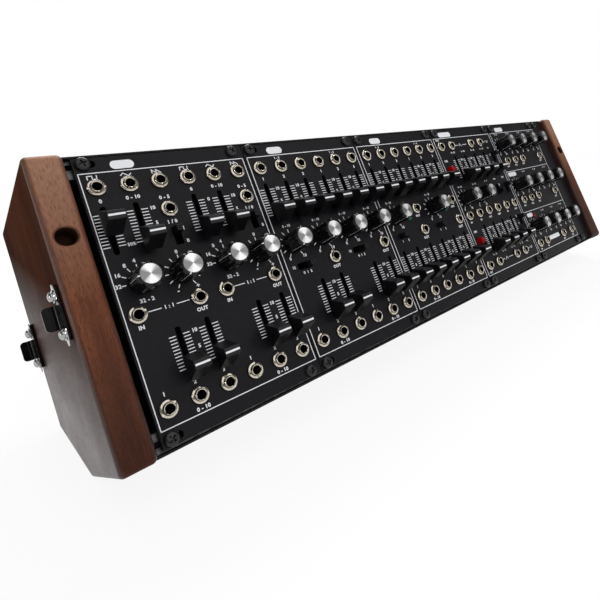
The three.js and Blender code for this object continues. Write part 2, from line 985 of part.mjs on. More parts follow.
function catchBendSolid(face, root) {
  const centre = catchBend + catchSheet;
  const quarter = Math.PI / 2;
  const outline = [
    new THREE.Vector2(0, catchPlateWidth),
    ...arcPoints(centre, centre, centre, 2 * quarter, 3 * quarter, catchBendSteps),
    ...arcPoints(centre, centre, catchBend, 3 * quarter, 2 * quarter, catchBendSteps),
    new THREE.Vector2(catchSheet, catchPlateWidth),
  ];
  const geometry = extruded(outline, catchTabLength);
  geometry.applyMatrix4(outwards);
  geometry.translate(face, catchMiddle - catchTabLength / 2, root);
  return solidOf(geometry);
}

function catchTabSolid(face, root) {
  const half = catchTabLength / 2;
  const end = catchTabReach;
  const quarter = Math.PI / 2;
  const corner = catchTabCorner;
  const outline = [
    new THREE.Vector2(catchBend + catchSheet - sink, -half),
    ...arcPoints(end - corner, corner - half, corner, -quarter, 0, catchBendSteps),
    ...arcPoints(end - corner, half - corner, corner, 0, quarter, catchBendSteps),
    new THREE.Vector2(catchBend + catchSheet - sink, half),
  ];
  const geometry = extruded(outline, catchSheet);
  geometry.applyMatrix4(flatOutwards);
  geometry.translate(face, catchMiddle, root + catchSheet);
  return solidOf(geometry);
}

function catchScrewSolid(face, y, z) {
  const base = catchSheet - sink;
  const top = catchSheet + catchScrewHeight;
  const profile = [
    [0, base],
    [catchScrewRadius, base],
    [catchScrewRadius, catchSheet + catchScrewHeight / 3],
    [catchScrewRadius * catchCrownShare, top],
    [0, top],
  ];
  const points = profile.map(([radius, height]) => new THREE.Vector2(radius, height));
  const geometry = new THREE.LatheGeometry(points, catchScrewSides);
  geometry.rotateZ(Math.PI / 2);
  geometry.translate(face, y, z);
  return solidOf(geometry);
}

function sideCatch(name, edge) {
  const face = leftOuter - seat;
  const root = edge - catchPlateWidth;
  const halfPlate = catchPlateLength / 2;
  const plate = block(
    face - catchSheet,
    face,
    catchMiddle - halfPlate,
    catchMiddle + halfPlate,
    root + catchBend + catchSheet,
    edge,
  );
  const screws = [-1, 1].map((side) => catchScrewSolid(
    face,
    catchMiddle + (side * catchScrewSpacing) / 2,
    edge - catchPlateWidth / 2 + catchBend / 2,
  ));
  const parts = [plate, catchBendSolid(face, root), catchTabSolid(face, root), ...screws];
  return meshOf(joined(parts), name, blackSteel);
}

// The whole instrument, built upright and then leant back on its bevel.
const leaning = new THREE.Group();
modules.forEach((layout, index) => leaning.add(moduleGroup(layout, index)));
leaning.add(
  blankPanel(),
  endPanel('left_end_panel', leftOuter),
  endPanel('right_end_panel', rightInner),
  caseShell(),
  topRail(),
  bottomRail(),
  powerBoard(),
  powerInlet(),
  powerRocker(),
  sideCatch('front_side_catch', frontCatchEdge),
  sideCatch('rear_side_catch', rearCatchEdge),
);
leaning.rotation.x = Math.PI / 2 - leanAngle;
leaning.position.set(-middle, -bevelMiddleY, lift);

const synthesizer = new THREE.Group();
synthesizer.add(leaning);

export default synthesizer;
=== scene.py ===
"""A desktop modular synthesizer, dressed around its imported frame.

Sizes are millimetres on the panels: x runs right from the first module's left edge,
y runs up from the panels' feet and z comes straight out of them. PanelSpace carries
them into the row frame, which is in metres.
"""

import json
import logging
import math
from collections.abc import Callable, Iterable, Sequence
from dataclasses import dataclass
from enum import Enum
from functools import cache

import bmesh
import bpy
from mathutils import Matrix, Vector
from mathutils.geometry import tessellate_polygon


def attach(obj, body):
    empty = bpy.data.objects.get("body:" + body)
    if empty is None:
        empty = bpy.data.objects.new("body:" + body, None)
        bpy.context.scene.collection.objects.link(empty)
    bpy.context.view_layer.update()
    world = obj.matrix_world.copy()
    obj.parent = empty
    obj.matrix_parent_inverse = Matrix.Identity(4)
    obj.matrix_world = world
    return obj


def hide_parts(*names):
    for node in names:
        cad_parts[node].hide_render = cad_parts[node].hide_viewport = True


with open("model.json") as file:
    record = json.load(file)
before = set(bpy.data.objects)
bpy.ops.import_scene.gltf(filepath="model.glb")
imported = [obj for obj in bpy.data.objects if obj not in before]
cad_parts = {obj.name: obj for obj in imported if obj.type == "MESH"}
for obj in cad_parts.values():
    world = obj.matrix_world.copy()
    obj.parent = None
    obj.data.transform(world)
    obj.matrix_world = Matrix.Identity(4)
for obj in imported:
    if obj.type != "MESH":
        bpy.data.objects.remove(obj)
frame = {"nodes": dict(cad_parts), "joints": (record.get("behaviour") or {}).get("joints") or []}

log = logging.getLogger("synthesizer")

MM = 0.001
FULL_TURN = 2 * math.pi
QUARTER = math.pi / 2
LEAN = math.pi / 6
CREASE = math.radians(34)
CASE_BODY = "case"

Point = tuple[float, float]
Level = tuple[float, float]
Corner = tuple[float, float, float]
Colour = tuple[float, float, float]
Socket = bpy.types.NodeSocket

SECTION = Matrix(((0, 0, 1, 0), (1, 0, 0, 0), (0, 1, 0, 0), (0, 0, 0, 1)))
ACROSS = Matrix(((1, 0, 0, 0), (0, 0, -1, 0), (0, 1, 0, 0), (0, 0, 0, 1)))
TWIST = Matrix(((0, 1, 0, 0), (-1, 0, 0, 0), (0, 0, 1, 0), (0, 0, 0, 1)))


class Slot(Enum):
    """The record's material slots."""

    WALNUT = "walnut"
    CASE = "case_black"
    CATCH = "catch_black"
    PANEL = "panel_charcoal"
    RAIL = "rail_anodised"
    CONTROL = "control_black"
    BOARD = "board_green"
    BUTTON = "button_red"
    NICKEL = "nickel"
    KNOB_CAP = "knob_cap"
    PRINT = "print_white"
    GREEN_LAMP = "lamp_green"
    RED_LAMP = "lamp_red"


class Throw(Enum):
    """Which way a slide switch lies, and which end its lever is at."""

    UP = (True, 1)
    DOWN = (True, -1)
    RIGHT = (False, 1)
    LEFT = (False, -1)

    @property
    def upright(self) -> bool:
        """Whether the lever moves up and down."""
        return self.value[0]

    @property
    def side(self) -> int:
        """The end that the lever stands at."""
        return self.value[1]

    @property
    def turn(self) -> Matrix:
        """The turn that lays a flat switch down."""
        return Matrix.Identity(4) if self.upright else TWIST


# Places and shapes


@dataclass(frozen=True)
class PanelSpace:
    """The panels' leaning plane in the row frame: its foot in metres, and its axes."""

    foot: Vector
    right: Vector
    up: Vector
    out: Vector

    @classmethod
    def from_knob(cls, name: str, x: float, y: float) -> "PanelSpace":
        """Finds the plane from a knob whose place on its panel is known.

        Args:
            name: the knob's joint in the frame.
            x: its place along the case.
            y: its height on the panel.

        Returns:
            The plane.
        """
        joint = next(item for item in frame["joints"] if item["name"] == name)
        out = Vector(joint["axis"]).normalized()
        right = Vector((1, 0, 0))
        up = out.cross(right)
        return cls(Vector(joint["pos_m"]) - right * x * MM - up * y * MM, right, up, out)

    def at(self, x: float = 0.0, y: float = 0.0, z: float = 0.0, turn: float = 0.0) -> Matrix:
        """Gives the matrix that sets a shape drawn in millimetres on the panels.

        Args:
            x: place along the case.
            y: height on the panels.
            z: distance out of the panels.
            turn: the shape's turn about its own outward axis, in radians.

        Returns:
            A matrix from millimetres to the row frame.
        """
        spot = self.foot + (self.right * x + self.up * y + self.out * z) * MM
        axes = Matrix((self.right, self.up, self.out)).transposed().to_4x4()
        return Matrix.Translation(spot) @ axes @ Matrix.Rotation(turn, 4, "Z") @ Matrix.Scale(MM, 4)


def arc(x: float, y: float, radius: float, start: float, stop: float, steps: int) -> list[Point]:
    """Gives the points of an arc, both ends included.

    Args:
        x: the centre's place across.
        y: its place up.
        radius: the arc's radius.
        start: first angle, in radians.
        stop: last angle, in radians.
        steps: how many straight lengths it has.

    Returns:
        The points.
    """
    angles = [start + (stop - start) * step / steps for step in range(steps + 1)]
    return [(x + radius * math.cos(angle), y + radius * math.sin(angle)) for angle in angles]


def ring(x: float, y: float, radius: float, sides: int) -> list[Point]:
    """Gives a circle's points, its start not repeated."""
    return arc(x, y, radius, 0.0, FULL_TURN, sides)[:-1]


def dome(radius: float, low: float, high: float, steps: int = 8) -> list[Point]:
    """Gives a dome's profile, from its rim to its axis.

    Args:
        radius: of the sphere.
        low: height of the rim.
        high: height of the top.
        steps: how many bands there are.

    Returns:
        The profile's points.
    """
    turns = [step / steps * QUARTER for step in range(steps)]
    side = [(radius * math.cos(turn), low + (high - low) * math.sin(turn)) for turn in turns]
    return [*side, (0, high)]


def rounded(
    x: float, y: float, width: float, length: float, radius: float, steps: int = 4
) -> list[Point]:
    """Gives a rectangle with rounded corners, anticlockwise.

    Args:
        x: the centre's place across.
        y: its place up.
        width: its size along x.
        length: its size along y.
        radius: the corners' radius.
        steps: straight lengths in each corner.

    Returns:
        The outline.
    """
    right, top = width / 2 - radius, length / 2 - radius
    points: list[Point] = []
    for index, (dx, dy) in enumerate(((right, top), (-right, top), (-right, -top), (right, -top))):
        start = index * QUARTER
        points += arc(x + dx, y + dy, radius, start, start + QUARTER, steps)
    return points


def curve_between(start: Point, pull: Point, stop: Point, steps: int) -> list[Point]:
    """Gives a quadratic curve's points, both ends included.

    Args:
        start: where it begins.
        pull: the point that bends it.
        stop: where it ends.
        steps: how many straight lengths it has.

    Returns:
        The points.
    """
    points = []
    for step in range(steps + 1):
        part = step / steps
        near, mid, far = (1 - part) ** 2, 2 * part * (1 - part), part**2
        points.append(tuple(near * a + mid * b + far * c for a, b, c in zip(start, pull, stop)))
    return points


def rounded_corners(corners: Sequence[Corner], steps: int) -> list[Point]:
    """Rounds each corner of an outline.

    Args:
        corners: each corner's place and radius.
        steps: straight lengths in each corner.

    Returns:
        The rounded outline.
    """
    points: list[Point] = []
    for index, (x, y, radius) in enumerate(corners):
        here = Vector((x, y))
        before = (Vector(corners[index - 1][:2]) - here).normalized()
        after = (Vector(corners[(index + 1) % len(corners)][:2]) - here).normalized()
        half = before.angle(after) / 2
        reach = radius / math.tan(half)
        centre = here + (before + after).normalized() * radius / math.sin(half)
        first, last = (here + side * reach - centre for side in (before, after))
        for step in range(steps + 1):
            points.append(tuple(centre + first.slerp(last, step / steps) * radius))
    return points


def area_of(outline: Sequence[Point]) -> float:
    """Gives an outline's area, positive where it runs anticlockwise."""
    pairs = zip(outline, [*outline[1:], outline[0]])
    return sum(ax * by - bx * ay for (ax, ay), (bx, by) in pairs) / 2


def inset(outline: Sequence[Point], distance: float) -> list[Point]:
    """Moves a closed outline in, corner by corner.

    Args:
        outline: the outline, which may run either way.
        distance: how far every side moves in. Negative moves it out.

    Returns:
        The moved outline, with as many points.
    """
    if distance == 0:
        return list(outline)
    least_share = 0.35
    sense = math.copysign(1.0, area_of(outline))
    moved = []
    for index, (x, y) in enumerate(outline):
        before, after = outline[index - 1], outline[(index + 1) % len(outline)]
        inward = Vector((x - before[0], y - before[1])).normalized()
        onward = Vector((after[0] - x, after[1] - y)).normalized()
        first, second = (Vector((-way.y, way.x)) * sense for way in (inward, onward))
        middle = (first + second).normalized()
        reach = distance / max(middle.dot(first), least_share)
        moved.append((x + middle.x * reach, y + middle.y * reach))
    return moved


def eased(low: float, high: float, ease: float, steps: int = 2) -> list[Level]:
    """Gives the levels of a slab whose upper and lower edges are rounded.

    Args:
        low: where the slab starts.
        high: where it ends.
        ease: the edges' radius.
        steps: straight lengths in each edge.

    Returns:
        Pairs of height and inset, from low to high.
    """
    turns = [step / steps * QUARTER for step in range(steps + 1)]
    edge = [(ease * (1 - math.sin(turn)), ease * (1 - math.cos(turn))) for turn in turns]
    lower = [(low + rise, pull) for pull, rise in edge]
    return lower + [(high - rise, pull) for pull, rise in reversed(edge)]


def straight(low: float, high: float) -> list[Level]:
    """Gives the levels of a slab with crisp edges."""
    return [(low, 0.0), (high, 0.0)]


class MeshWork:
    """Closed solids gathered into one mesh, each set by its own matrix."""

    def __init__(self) -> None:
        """Starts with nothing in it."""
        self.mesh = bmesh.new()
        self.polar = self.mesh.loops.layers.uv.new("polar")

    def corner(self, place: Matrix, x: float, y: float, z: float) -> bmesh.types.BMVert:
        """Adds one corner."""
        return self.mesh.verts.new(place @ Vector((x, y, z)))

    def join(self, lower: list, upper: list) -> None:
        """Joins two loops of as many corners with a band of faces.

        Args:
            lower: one loop's corners.
            upper: the other loop's corners.
        """
        for index, corner in enumerate(lower):
            after = (index + 1) % len(lower)
            unique = list(dict.fromkeys((corner, lower[after], upper[after], upper[index])))
            if len(unique) > 2:
                self.mesh.faces.new(unique)

    def lathe(
        self,
        profile: Sequence[Point],
        sides: int,
        place: Matrix,
        limit: Callable[[float], float] | None = None,
        closed: bool = False,
    ) -> None:
        """Turns a profile about its outward axis.

        Args:
            profile: pairs of radius and height.
            sides: how many flat sides go round.
            place: where it goes.
            limit: gives the widest radius at an angle.
            closed: joins the profile's end to its start, for a ring.
        """
        angles = [FULL_TURN * side / sides for side in range(sides)]
        loops = []
        for radius, height in profile:
            if radius == 0:
                loops.append([self.corner(place, 0, 0, height)] * sides)
                continue
            loop = []
            for angle in angles:
                reach = min(radius, limit(angle)) if limit else radius
                x, y = reach * math.cos(angle), reach * math.sin(angle)
                loop.append(self.corner(place, x, y, height))
            loops.append(loop)
        after = [*loops[1:], loops[0]] if closed else loops[1:]
        for lower, upper in zip(loops, after):
            self.join(lower, upper)

    def prism(
        self,
        outline: Sequence[Point],
        levels: Sequence[Level],
        place: Matrix,
        holes: Sequence[Sequence[Point]] = (),
    ) -> None:
        """Raises an outline through its levels, with holes right through.

        Args:
            outline: the outer edge.
            levels: pairs of height and inset, from low to high.
            place: where it goes.
            holes: outlines that are cut out.
        """
        shapes, stacks = [], []
        for number, loop in enumerate((outline, *holes)):
            sense = -1 if number else 1
            drawn = [inset(loop, sense * pull) for _, pull in levels]
            stack = []
            for (height, _), points in zip(levels, drawn):
                stack.append([self.corner(place, x, y, height) for x, y in points])
            for lower, upper in zip(stack, stack[1:]):
                self.join(lower, upper)
            shapes.append(drawn)
            stacks.append(stack)
        for end in (0, -1):
            corners = [corner for stack in stacks for corner in stack[end]]
            if not holes:
                self.mesh.faces.new(corners)
                continue
            flat = [[Vector((x, y, 0)) for x, y in drawn[end]] for drawn in shapes]
            for triangle in tessellate_polygon(flat):
                self.mesh.faces.new([corners[index] for index in triangle])

    def stroke(
        self, start: Point, stop: Point, width: float, levels: Sequence[Level], place: Matrix
    ) -> None:
        """Lays a straight bar from one point to another.

        Args:
            start: its first end, on its middle line.
            stop: its other end.
            width: how wide it is.
            levels: its underside and its top.
            place: where it goes.
        """
        along = Vector((stop[0] - start[0], stop[1] - start[1])).normalized()
        side = Vector((-along.y, along.x)) * width / 2
        ends = ((start, -1), (stop, -1), (stop, 1), (start, 1))
        self.prism([(x + side.x * way, y + side.y * way) for (x, y), way in ends], levels, place)

    def stamp(self, mesh: bpy.types.Mesh, place: Matrix) -> None:
        """Adds a copy of a finished mesh.

        Args:
            mesh: what to copy.
            place: where it goes.
        """
        corners = [self.mesh.verts.new(place @ vertex.co) for vertex in mesh.vertices]
        for polygon in mesh.polygons:
            self.mesh.faces.new([corners[index] for index in polygon.vertices])

    def map_polar(self, centre: Vector, out: Vector, across: Vector) -> None:
        """Writes each face corner's angle and radius about an axis.

        Args:
            centre: a point on the axis.
            out: the axis.
            across: where the angle is zero.
        """
        upward = out.cross(across)
        for face in self.mesh.faces:
            middle = face.calc_center_median() - centre
            base = math.atan2(middle.dot(upward), middle.dot(across))
            for loop in face.loops:
                arm = loop.vert.co - centre
                x, y = arm.dot(across), arm.dot(upward)
                radius = math.hypot(x, y) / MM
                angle = math.atan2(y, x) if radius > 0.01 else base
                if abs(angle - base) > math.pi:
                    angle -= math.copysign(FULL_TURN, angle - base)
                loop[self.polar].uv = (angle / FULL_TURN, radius)

    def take(self, name: str) -> bpy.types.Mesh:
        """Closes the work and gives its mesh under a name.

        Args:
            name: the mesh's name.

        Returns:
            The mesh.
        """
        bmesh.ops.recalc_face_normals(self.mesh, faces=self.mesh.faces)
        made = bpy.data.meshes.new(name)
        self.mesh.to_mesh(made)
        self.mesh.free()
        return settled(made)

    def cut(self, tool: "MeshWork", name: str) -> bpy.types.Mesh:
        """Cuts another work out of this one.

        Args:
            tool: what is taken away.
            name: the new mesh's name.

        Returns:
            The mesh that is left.
        """
        cutter = placed_object(f"{name}_tool", tool.take(f"{name}_tool"))
        made = modified(
            self.take(name), "BOOLEAN", operation="DIFFERENCE", solver="EXACT", object=cutter
        )
        bpy.data.objects.remove(cutter)
        return settled(made)


def placed_object(name: str, data: bpy.types.ID | None) -> bpy.types.Object:
    """Makes an object and puts it in the scene.

    Args:
        name: its name.
        data: its mesh or other data.

    Returns:
        The object.
    """
    made = bpy.data.objects.new(name, data)
    bpy.context.scene.collection.objects.link(made)
    return made


def evaluated_mesh(item: bpy.types.Object) -> bpy.types.Mesh:
    """Gives a new mesh of what an object shows, and removes the object.

    Args:
        item: the object, with its modifiers.

    Returns:
        The new mesh.
    """
    graph = bpy.context.evaluated_depsgraph_get()
    made = bpy.data.meshes.new_from_object(item.evaluated_get(graph))
    bpy.data.objects.remove(item)
    return made


def modified(mesh: bpy.types.Mesh, kind: str, **settings: object) -> bpy.types.Mesh:
    """Gives a mesh as a modifier leaves it.

    Args:
        mesh: what is modified.
        kind: the modifier's type.
        **settings: attributes to set on it.

    Returns:
        A new mesh of the same name.
    """
    body = placed_object("modified", mesh)
    modifier = body.modifiers.new("modifier", kind)
    for name, value in settings.items():
        setattr(modifier, name, value)
    made = evaluated_mesh(body)
    made.name = mesh.name
    return made


def settled(mesh: bpy.types.Mesh) -> bpy.types.Mesh:
    """Gives a mesh smoothed so that broad faces look flat and eased edges round.

    Args:
        mesh: the mesh, changed in place.

    Returns:
        The same mesh.
    """
    mesh.shade_smooth()
    mesh.set_sharp_from_angle(angle=CREASE)
    return modified(mesh, "WEIGHTED_NORMAL", keep_sharp=True, weight=80)


# Finishes


class NodeTree:
    """Short calls for building a node tree."""

    def __init__(self, tree: bpy.types.NodeTree) -> None:
        """Keeps the tree."""
        self.tree = tree

    def add(
        self, kind: str, inputs: dict[str | int, object] | None = None, **settings: object
    ) -> bpy.types.Node:
        """Adds a node, sets its own values and feeds its inputs.

        Args:
            kind: the node's type name.
            inputs: a value or a socket for each input named.
            **settings: attributes to set on it.

        Returns:
            The node.
        """
        node = self.tree.nodes.new(kind)
        for name, value in settings.items():
            setattr(node, name, value)
        self.feed(node, inputs or {})
        return node

    def feed(self, node: bpy.types.Node, inputs: dict[str | int, object]) -> None:
        """Links each socket given to its input, and sets each value given.

        Args:
            node: the node.
            inputs: sockets or values by input.
        """
        for key, value in inputs.items():
            if isinstance(value, Socket):
                self.tree.links.new(value, node.inputs[key])
            else:
                node.inputs[key].default_value = value

    def math(
        self, operation: str, first: object, second: object = 0.0, clamp: bool = False
    ) -> Socket:
        """Adds a sum on two numbers or sockets.

        Args:
            operation: the sum's name.
            first: what it starts from.
            second: what it does that with.
            clamp: keeps the answer from 0 to 1.

        Returns:
            The answer.
        """
        given = {0: first, 1: second}
        node = self.add("ShaderNodeMath", given, operation=operation, use_clamp=clamp)
        return node.outputs[0]

    def range(
        self, value: Socket, start: float, stop: float, low: object = 0.0, high: object = 1.0
    ) -> Socket:
        """Stretches a value, a number or a socket, from one range to another."""
        given = {"Value": value, "From Min": start, "From Max": stop, "To Min": low, "To Max": high}
        return self.add("ShaderNodeMapRange", given).outputs["Result"]

    def noise(self, vector: Socket, scale: object, detail: float, roughness: float = 0.5) -> Socket:
        """Adds a noise, read at a vector, and gives its value."""
        given = {"Vector": vector, "Scale": scale, "Detail": detail, "Roughness": roughness}
        return self.add("ShaderNodeTexNoise", given).outputs["Fac"]

    def mix(self, factor: Socket, first: object, second: object) -> Socket:
        """Mixes two colours.

        Args:
            factor: how much of the second shows.
            first: a colour or a socket.
            second: a colour or a socket.

        Returns:
            The mixed colour's socket.
        """
        ends = [end if isinstance(end, Socket) else (*end, 1.0) for end in (first, second)]
        given = {"Factor": factor, 6: ends[0], 7: ends[1]}
        return self.add("ShaderNodeMix", given, data_type="RGBA").outputs[2]

    def place(self, output: str = "Object") -> Socket:
        """Gives where on the object a point is, or its normal."""
        return self.add("ShaderNodeTexCoord").outputs[output]

    def split(self, vector: Socket) -> bpy.types.NodeOutputs:
        """Gives a vector's X, Y and Z."""
        return self.add("ShaderNodeSeparateXYZ", {0: vector}).outputs

    def vector(self, x: Socket, y: object = 0.0) -> Socket:
        """Gives the vector of an X and a Y."""
        return self.add("ShaderNodeCombineXYZ", {"X": x, "Y": y}).outputs["Vector"]

    def seen_rays(self) -> Socket:
        """Gives 1 on rays from the camera, in reflections and through glass.

        Returns:
            The mask's socket.
        """
        path = self.add("ShaderNodeLightPath").outputs
        seen = self.math("MAXIMUM", path["Is Camera Ray"], path["Is Glossy Ray"])
        return self.math("MAXIMUM", seen, path["Is Transmission Ray"])


class Effects:
    """Node groups that several finishes share."""

    def __init__(self) -> None:
        """Builds every group once."""
        self.speckle = self._speckle()
        self.smudge = self._smudge()
        self.wear = self._wear()
        self.dust = self._dust()
        self.panel_axes = self._panel_axes()

    @staticmethod
    def _start(name: str, inputs: dict[str, float], outputs: dict[str, str]) -> tuple:
        """Makes an empty group.

        Args:
            name: the group's name.
            inputs: first values of its number inputs.
            outputs: the kinds of its outputs.

        Returns:
            The group, its short calls, its inputs and its output node.
        """
        group = bpy.data.node_groups.new(name, "ShaderNodeTree")
        for label, value in inputs.items():
            socket = group.interface.new_socket(
                label, in_out="INPUT", socket_type="NodeSocketFloat"
            )
            socket.default_value = value
        for label, kind in outputs.items():
            group.interface.new_socket(label, in_out="OUTPUT", socket_type=f"NodeSocket{kind}")
        tree = NodeTree(group)
        return group, tree, tree.add("NodeGroupInput").outputs, tree.add("NodeGroupOutput")

    def _speckle(self) -> bpy.types.NodeTree:
        """A fine even texture, such as powder coat or moulded plastic.

        Returns:
            The group.
        """
        outputs = {"Height": "Float", "Value": "Float"}
        group, tree, given, put = self._start(
            "fine_speckle", {"Scale": 1800.0, "Softness": 0.5}, outputs
        )
        fine = tree.noise(tree.place(), given["Scale"], 2.0)
        broad_scale = tree.math("MULTIPLY", given["Scale"], 0.23)
        broad = tree.noise(tree.place(), broad_scale, 3.0)
        soft = tree.math("MULTIPLY", broad, given["Softness"])
        value = tree.range(fine, 0.3, 0.7)
        tree.feed(put, {"Height": tree.math("ADD", fine, soft), "Value": value})
        return group

    def _smudge(self) -> bpy.types.NodeTree:
        """A roughness that drifts between two values over a handled surface.

        Returns:
            The group.
        """
        group, tree, given, put = self._start(
            "handled_smudges", {"Scale": 40.0, "Low": 0.3, "High": 0.45}, {"Roughness": "Float"}
        )
        drift = tree.noise(tree.place(), given["Scale"], 4.0, 0.6)
        tree.feed(put, {"Roughness": tree.range(drift, 0.3, 0.7, given["Low"], given["High"])})
        return group

    def _wear(self) -> bpy.types.NodeTree:
        """A mask along outward edges, broken up by noise.

        Returns:
            The group.
        """
        group, tree, given, put = self._start(
            "worn_edges", {"Amount": 0.5, "Scale": 300.0}, {"Mask": "Float"}
        )
        edge = tree.range(tree.add("ShaderNodeNewGeometry").outputs["Pointiness"], 0.52, 0.62)
        broken = tree.range(tree.noise(tree.place(), given["Scale"], 3.0), 0.4, 0.62)
        mask = tree.math("MULTIPLY", edge, broken)
        tree.feed(put, {"Mask": tree.math("MULTIPLY", mask, given["Amount"], True)})
        return group

    def _dust(self) -> bpy.types.NodeTree:
        """A mask of thin dust on faces that look up.

        Returns:
            The group.
        """
        group, tree, given, put = self._start(
            "settled_dust", {"Amount": 0.1, "Scale": 900.0}, {"Mask": "Float"}
        )
        normal = tree.split(tree.add("ShaderNodeNewGeometry").outputs["Normal"])
        up = tree.range(normal["Z"], 0.2, 1.0)
        grains = tree.range(tree.noise(tree.place(), given["Scale"], 4.0, 0.7), 0.45, 0.75)
        mask = tree.math("MULTIPLY", up, grains)
        tree.feed(put, {"Mask": tree.math("MULTIPLY", mask, given["Amount"], True)})
        return group

    def _panel_axes(self) -> bpy.types.NodeTree:
        """The place on the object turned so that Y runs up the leaning panels.

        Returns:
            The group.
        """
        group, tree, given, put = self._start(
            "panel_axes", {"Lean": LEAN - QUARTER}, {"Place": "Vector"}
        )
        inputs = {"Vector": tree.place(), "Angle": given["Lean"]}
        turn = tree.add("ShaderNodeVectorRotate", inputs, rotation_type="X_AXIS")
        tree.feed(put, {"Place": turn.outputs["Vector"]})
        return group


class Surface(NodeTree):
    """A new material's tree, with its surface shader."""

    def __init__(self, name: str) -> None:
        """Makes the material.

        Args:
            name: the material's name.
        """
        self.material = bpy.data.materials.new(name)
        self.material.use_nodes = True
        super().__init__(self.material.node_tree)
        self.shader = self.tree.nodes["Principled BSDF"]

    def group(self, group: bpy.types.NodeTree, **values: float) -> bpy.types.NodeOutputs:
        """Places a shared group with its own values, and gives its outputs."""
        given = {name.title(): value for name, value in values.items()}
        return self.add("ShaderNodeGroup", given, node_tree=group).outputs

    def bump(self, height: Socket, distance: float, strength: float) -> None:
        """Feeds a height to the shader's normal.

        Args:
            height: the height's socket.
            distance: how deep it is, in metres.
            strength: how much of it shows.
        """
        given = {"Height": height, "Distance": distance, "Strength": strength}
        normal = self.add("ShaderNodeBump", given).outputs["Normal"]
        self.feed(self.shader, {"Normal": normal})

    def cover(self, share: Socket, other: bpy.types.Node) -> None:
        """Shows another shader over the first.

        Args:
            share: how much of the other shows.
            other: the other shader's node.
        """
        given = {0: share, 1: self.shader.outputs[0], 2: other.outputs[0]}
        both = self.add("ShaderNodeMixShader", given)
        self.feed(self.tree.nodes["Material Output"], {"Surface": both.outputs[0]})


@dataclass(frozen=True)
class Paint:
    """A finish's material and the slot of the record that it stands for."""

    material: bpy.types.Material
    slot: Slot


@dataclass(frozen=True)
class Finish:
    """What every finish shares."""

    slot: Slot
    name: str

    def dress(self, surface: Surface, effects: Effects) -> None:
        """Builds the finish's nodes in a new material."""
        raise NotImplementedError

    def paint(self, effects: Effects) -> Paint:
        """Makes the finish's material.

        Args:
            effects: the shared node groups.

        Returns:
            The material and its slot.
        """
        surface = Surface(self.name)
        self.dress(surface, effects)
        return Paint(surface.material, self.slot)


@dataclass(frozen=True)
class CoatedFinish(Finish):
    """A coat or moulded plastic: one colour with speckle, smudges, dust and worn edges."""

    colour: Colour
    speck_colour: Colour
    edge_colour: Colour
    low: float
    high: float
    scale: float = 1800.0
    depth: float = 0.00002
    strength: float = 0.35
    specular: float = 0.4
    wear: float = 0.25
    dust: float = 0.05
    dust_colour: Colour = (0.42, 0.4, 0.38)
    metallic: float = 0.0

    def dress(self, surface: Surface, effects: Effects) -> None:
        """Builds the coat.

        Args:
            surface: the new material's tree.
            effects: the shared node groups.
        """
        speckle = surface.group(effects.speckle, scale=self.scale)
        smudge = surface.group(effects.smudge, low=self.low, high=self.high)
        wear = surface.group(effects.wear, amount=self.wear)
        dust = surface.group(effects.dust, amount=self.dust)
        body = surface.mix(speckle["Value"], self.colour, self.speck_colour)
        worn = surface.mix(wear["Mask"], body, self.edge_colour)
        inputs = {
            "Base Color": surface.mix(dust["Mask"], worn, self.dust_colour),
            "Roughness": smudge["Roughness"],
            "Metallic": self.metallic,
            "Specular IOR Level": self.specular,
        }
        surface.feed(surface.shader, inputs)
        surface.bump(speckle["Height"], self.depth, self.strength)


@dataclass(frozen=True)
class MetalFinish(Finish):
    """Plated or bright metal with faint handling marks."""

    colour: Colour
    shade: Colour
    low: float
    high: float

    def dress(self, surface: Surface, effects: Effects) -> None:
        """Builds the metal.

        Args:
            surface: the new material's tree.
            effects: the shared node groups.
        """
        speckle = surface.group(effects.speckle, scale=2600.0)
        smudge = surface.group(effects.smudge, scale=260.0, low=self.low, high=self.high)
        inputs = {
            "Base Color": surface.mix(speckle["Value"], self.colour, self.shade),
            "Roughness": smudge["Roughness"],
            "Metallic": 1.0,
        }
        surface.feed(surface.shader, inputs)
        surface.bump(speckle["Height"], 0.00001, 0.15)


@dataclass(frozen=True)
class TurnedFinish(Finish):
    """Aluminium turned on a lathe: fine rings, crossed by a painted reflection of two bright and
    two dark sectors.
    """

    slot: Slot = Slot.KNOB_CAP
    name: str = "turned_aluminium"
    # The bright and dark colours are a painted reflection, laid in sectors fixed to the cap.
    bright: Colour = (0.88, 0.88, 0.875)
    dark: Colour = (0.21, 0.212, 0.215)
    groove: Colour = (0.3, 0.3, 0.305)
    rings: float = 9.0
    streaks: float = 5.0
    low: float = 0.3
    high: float = 0.38
    anisotropy: float = 0.6

    def dress(self, surface: Surface, effects: Effects) -> None:
        """Builds the turned metal.

        Args:
            surface: the new material's tree.
            effects: the shared node groups.
        """
        polar = surface.split(surface.add("ShaderNodeUVMap", uv_map="polar").outputs["UV"])
        # Painted reflection: two bright and two dark sectors by angle, broken by painted radial
        # streaks.
        angle = surface.math("MULTIPLY", polar["X"], FULL_TURN)
        painted_fan = surface.math("COSINE", surface.math("MULTIPLY", angle, 2.0))
        spoke = surface.vector(surface.math("COSINE", angle), surface.math("SINE", angle))
        painted_streak = surface.noise(spoke, self.streaks, 5.0, 0.7)
        drift = surface.math("ADD", painted_fan, surface.range(painted_streak, 0.3, 0.7, -0.35, 0.35))
        colour = surface.mix(surface.range(drift, -0.75, 0.6), self.bright, self.dark)
        line = surface.vector(surface.math("MULTIPLY", polar["Y"], self.rings))
        rings = surface.noise(line, 3.0, 5.0, 0.7)
        cut = surface.mix(surface.range(rings, 0.45, 0.8, 0.0, 0.4), colour, self.groove)
        smudge = surface.group(effects.smudge, scale=180.0, low=self.low, high=self.high)
        tangent = surface.add("ShaderNodeTangent", direction_type="UV_MAP", uv_map="polar")
        inputs = {
            "Base Color": cut,
            "Roughness": smudge["Roughness"],
            "Metallic": 1.0,
            "Anisotropic": self.anisotropy,
            "Tangent": tangent.outputs["Tangent"],
        }
        surface.feed(surface.shader, inputs)
        surface.bump(rings, 0.00001, 0.2)


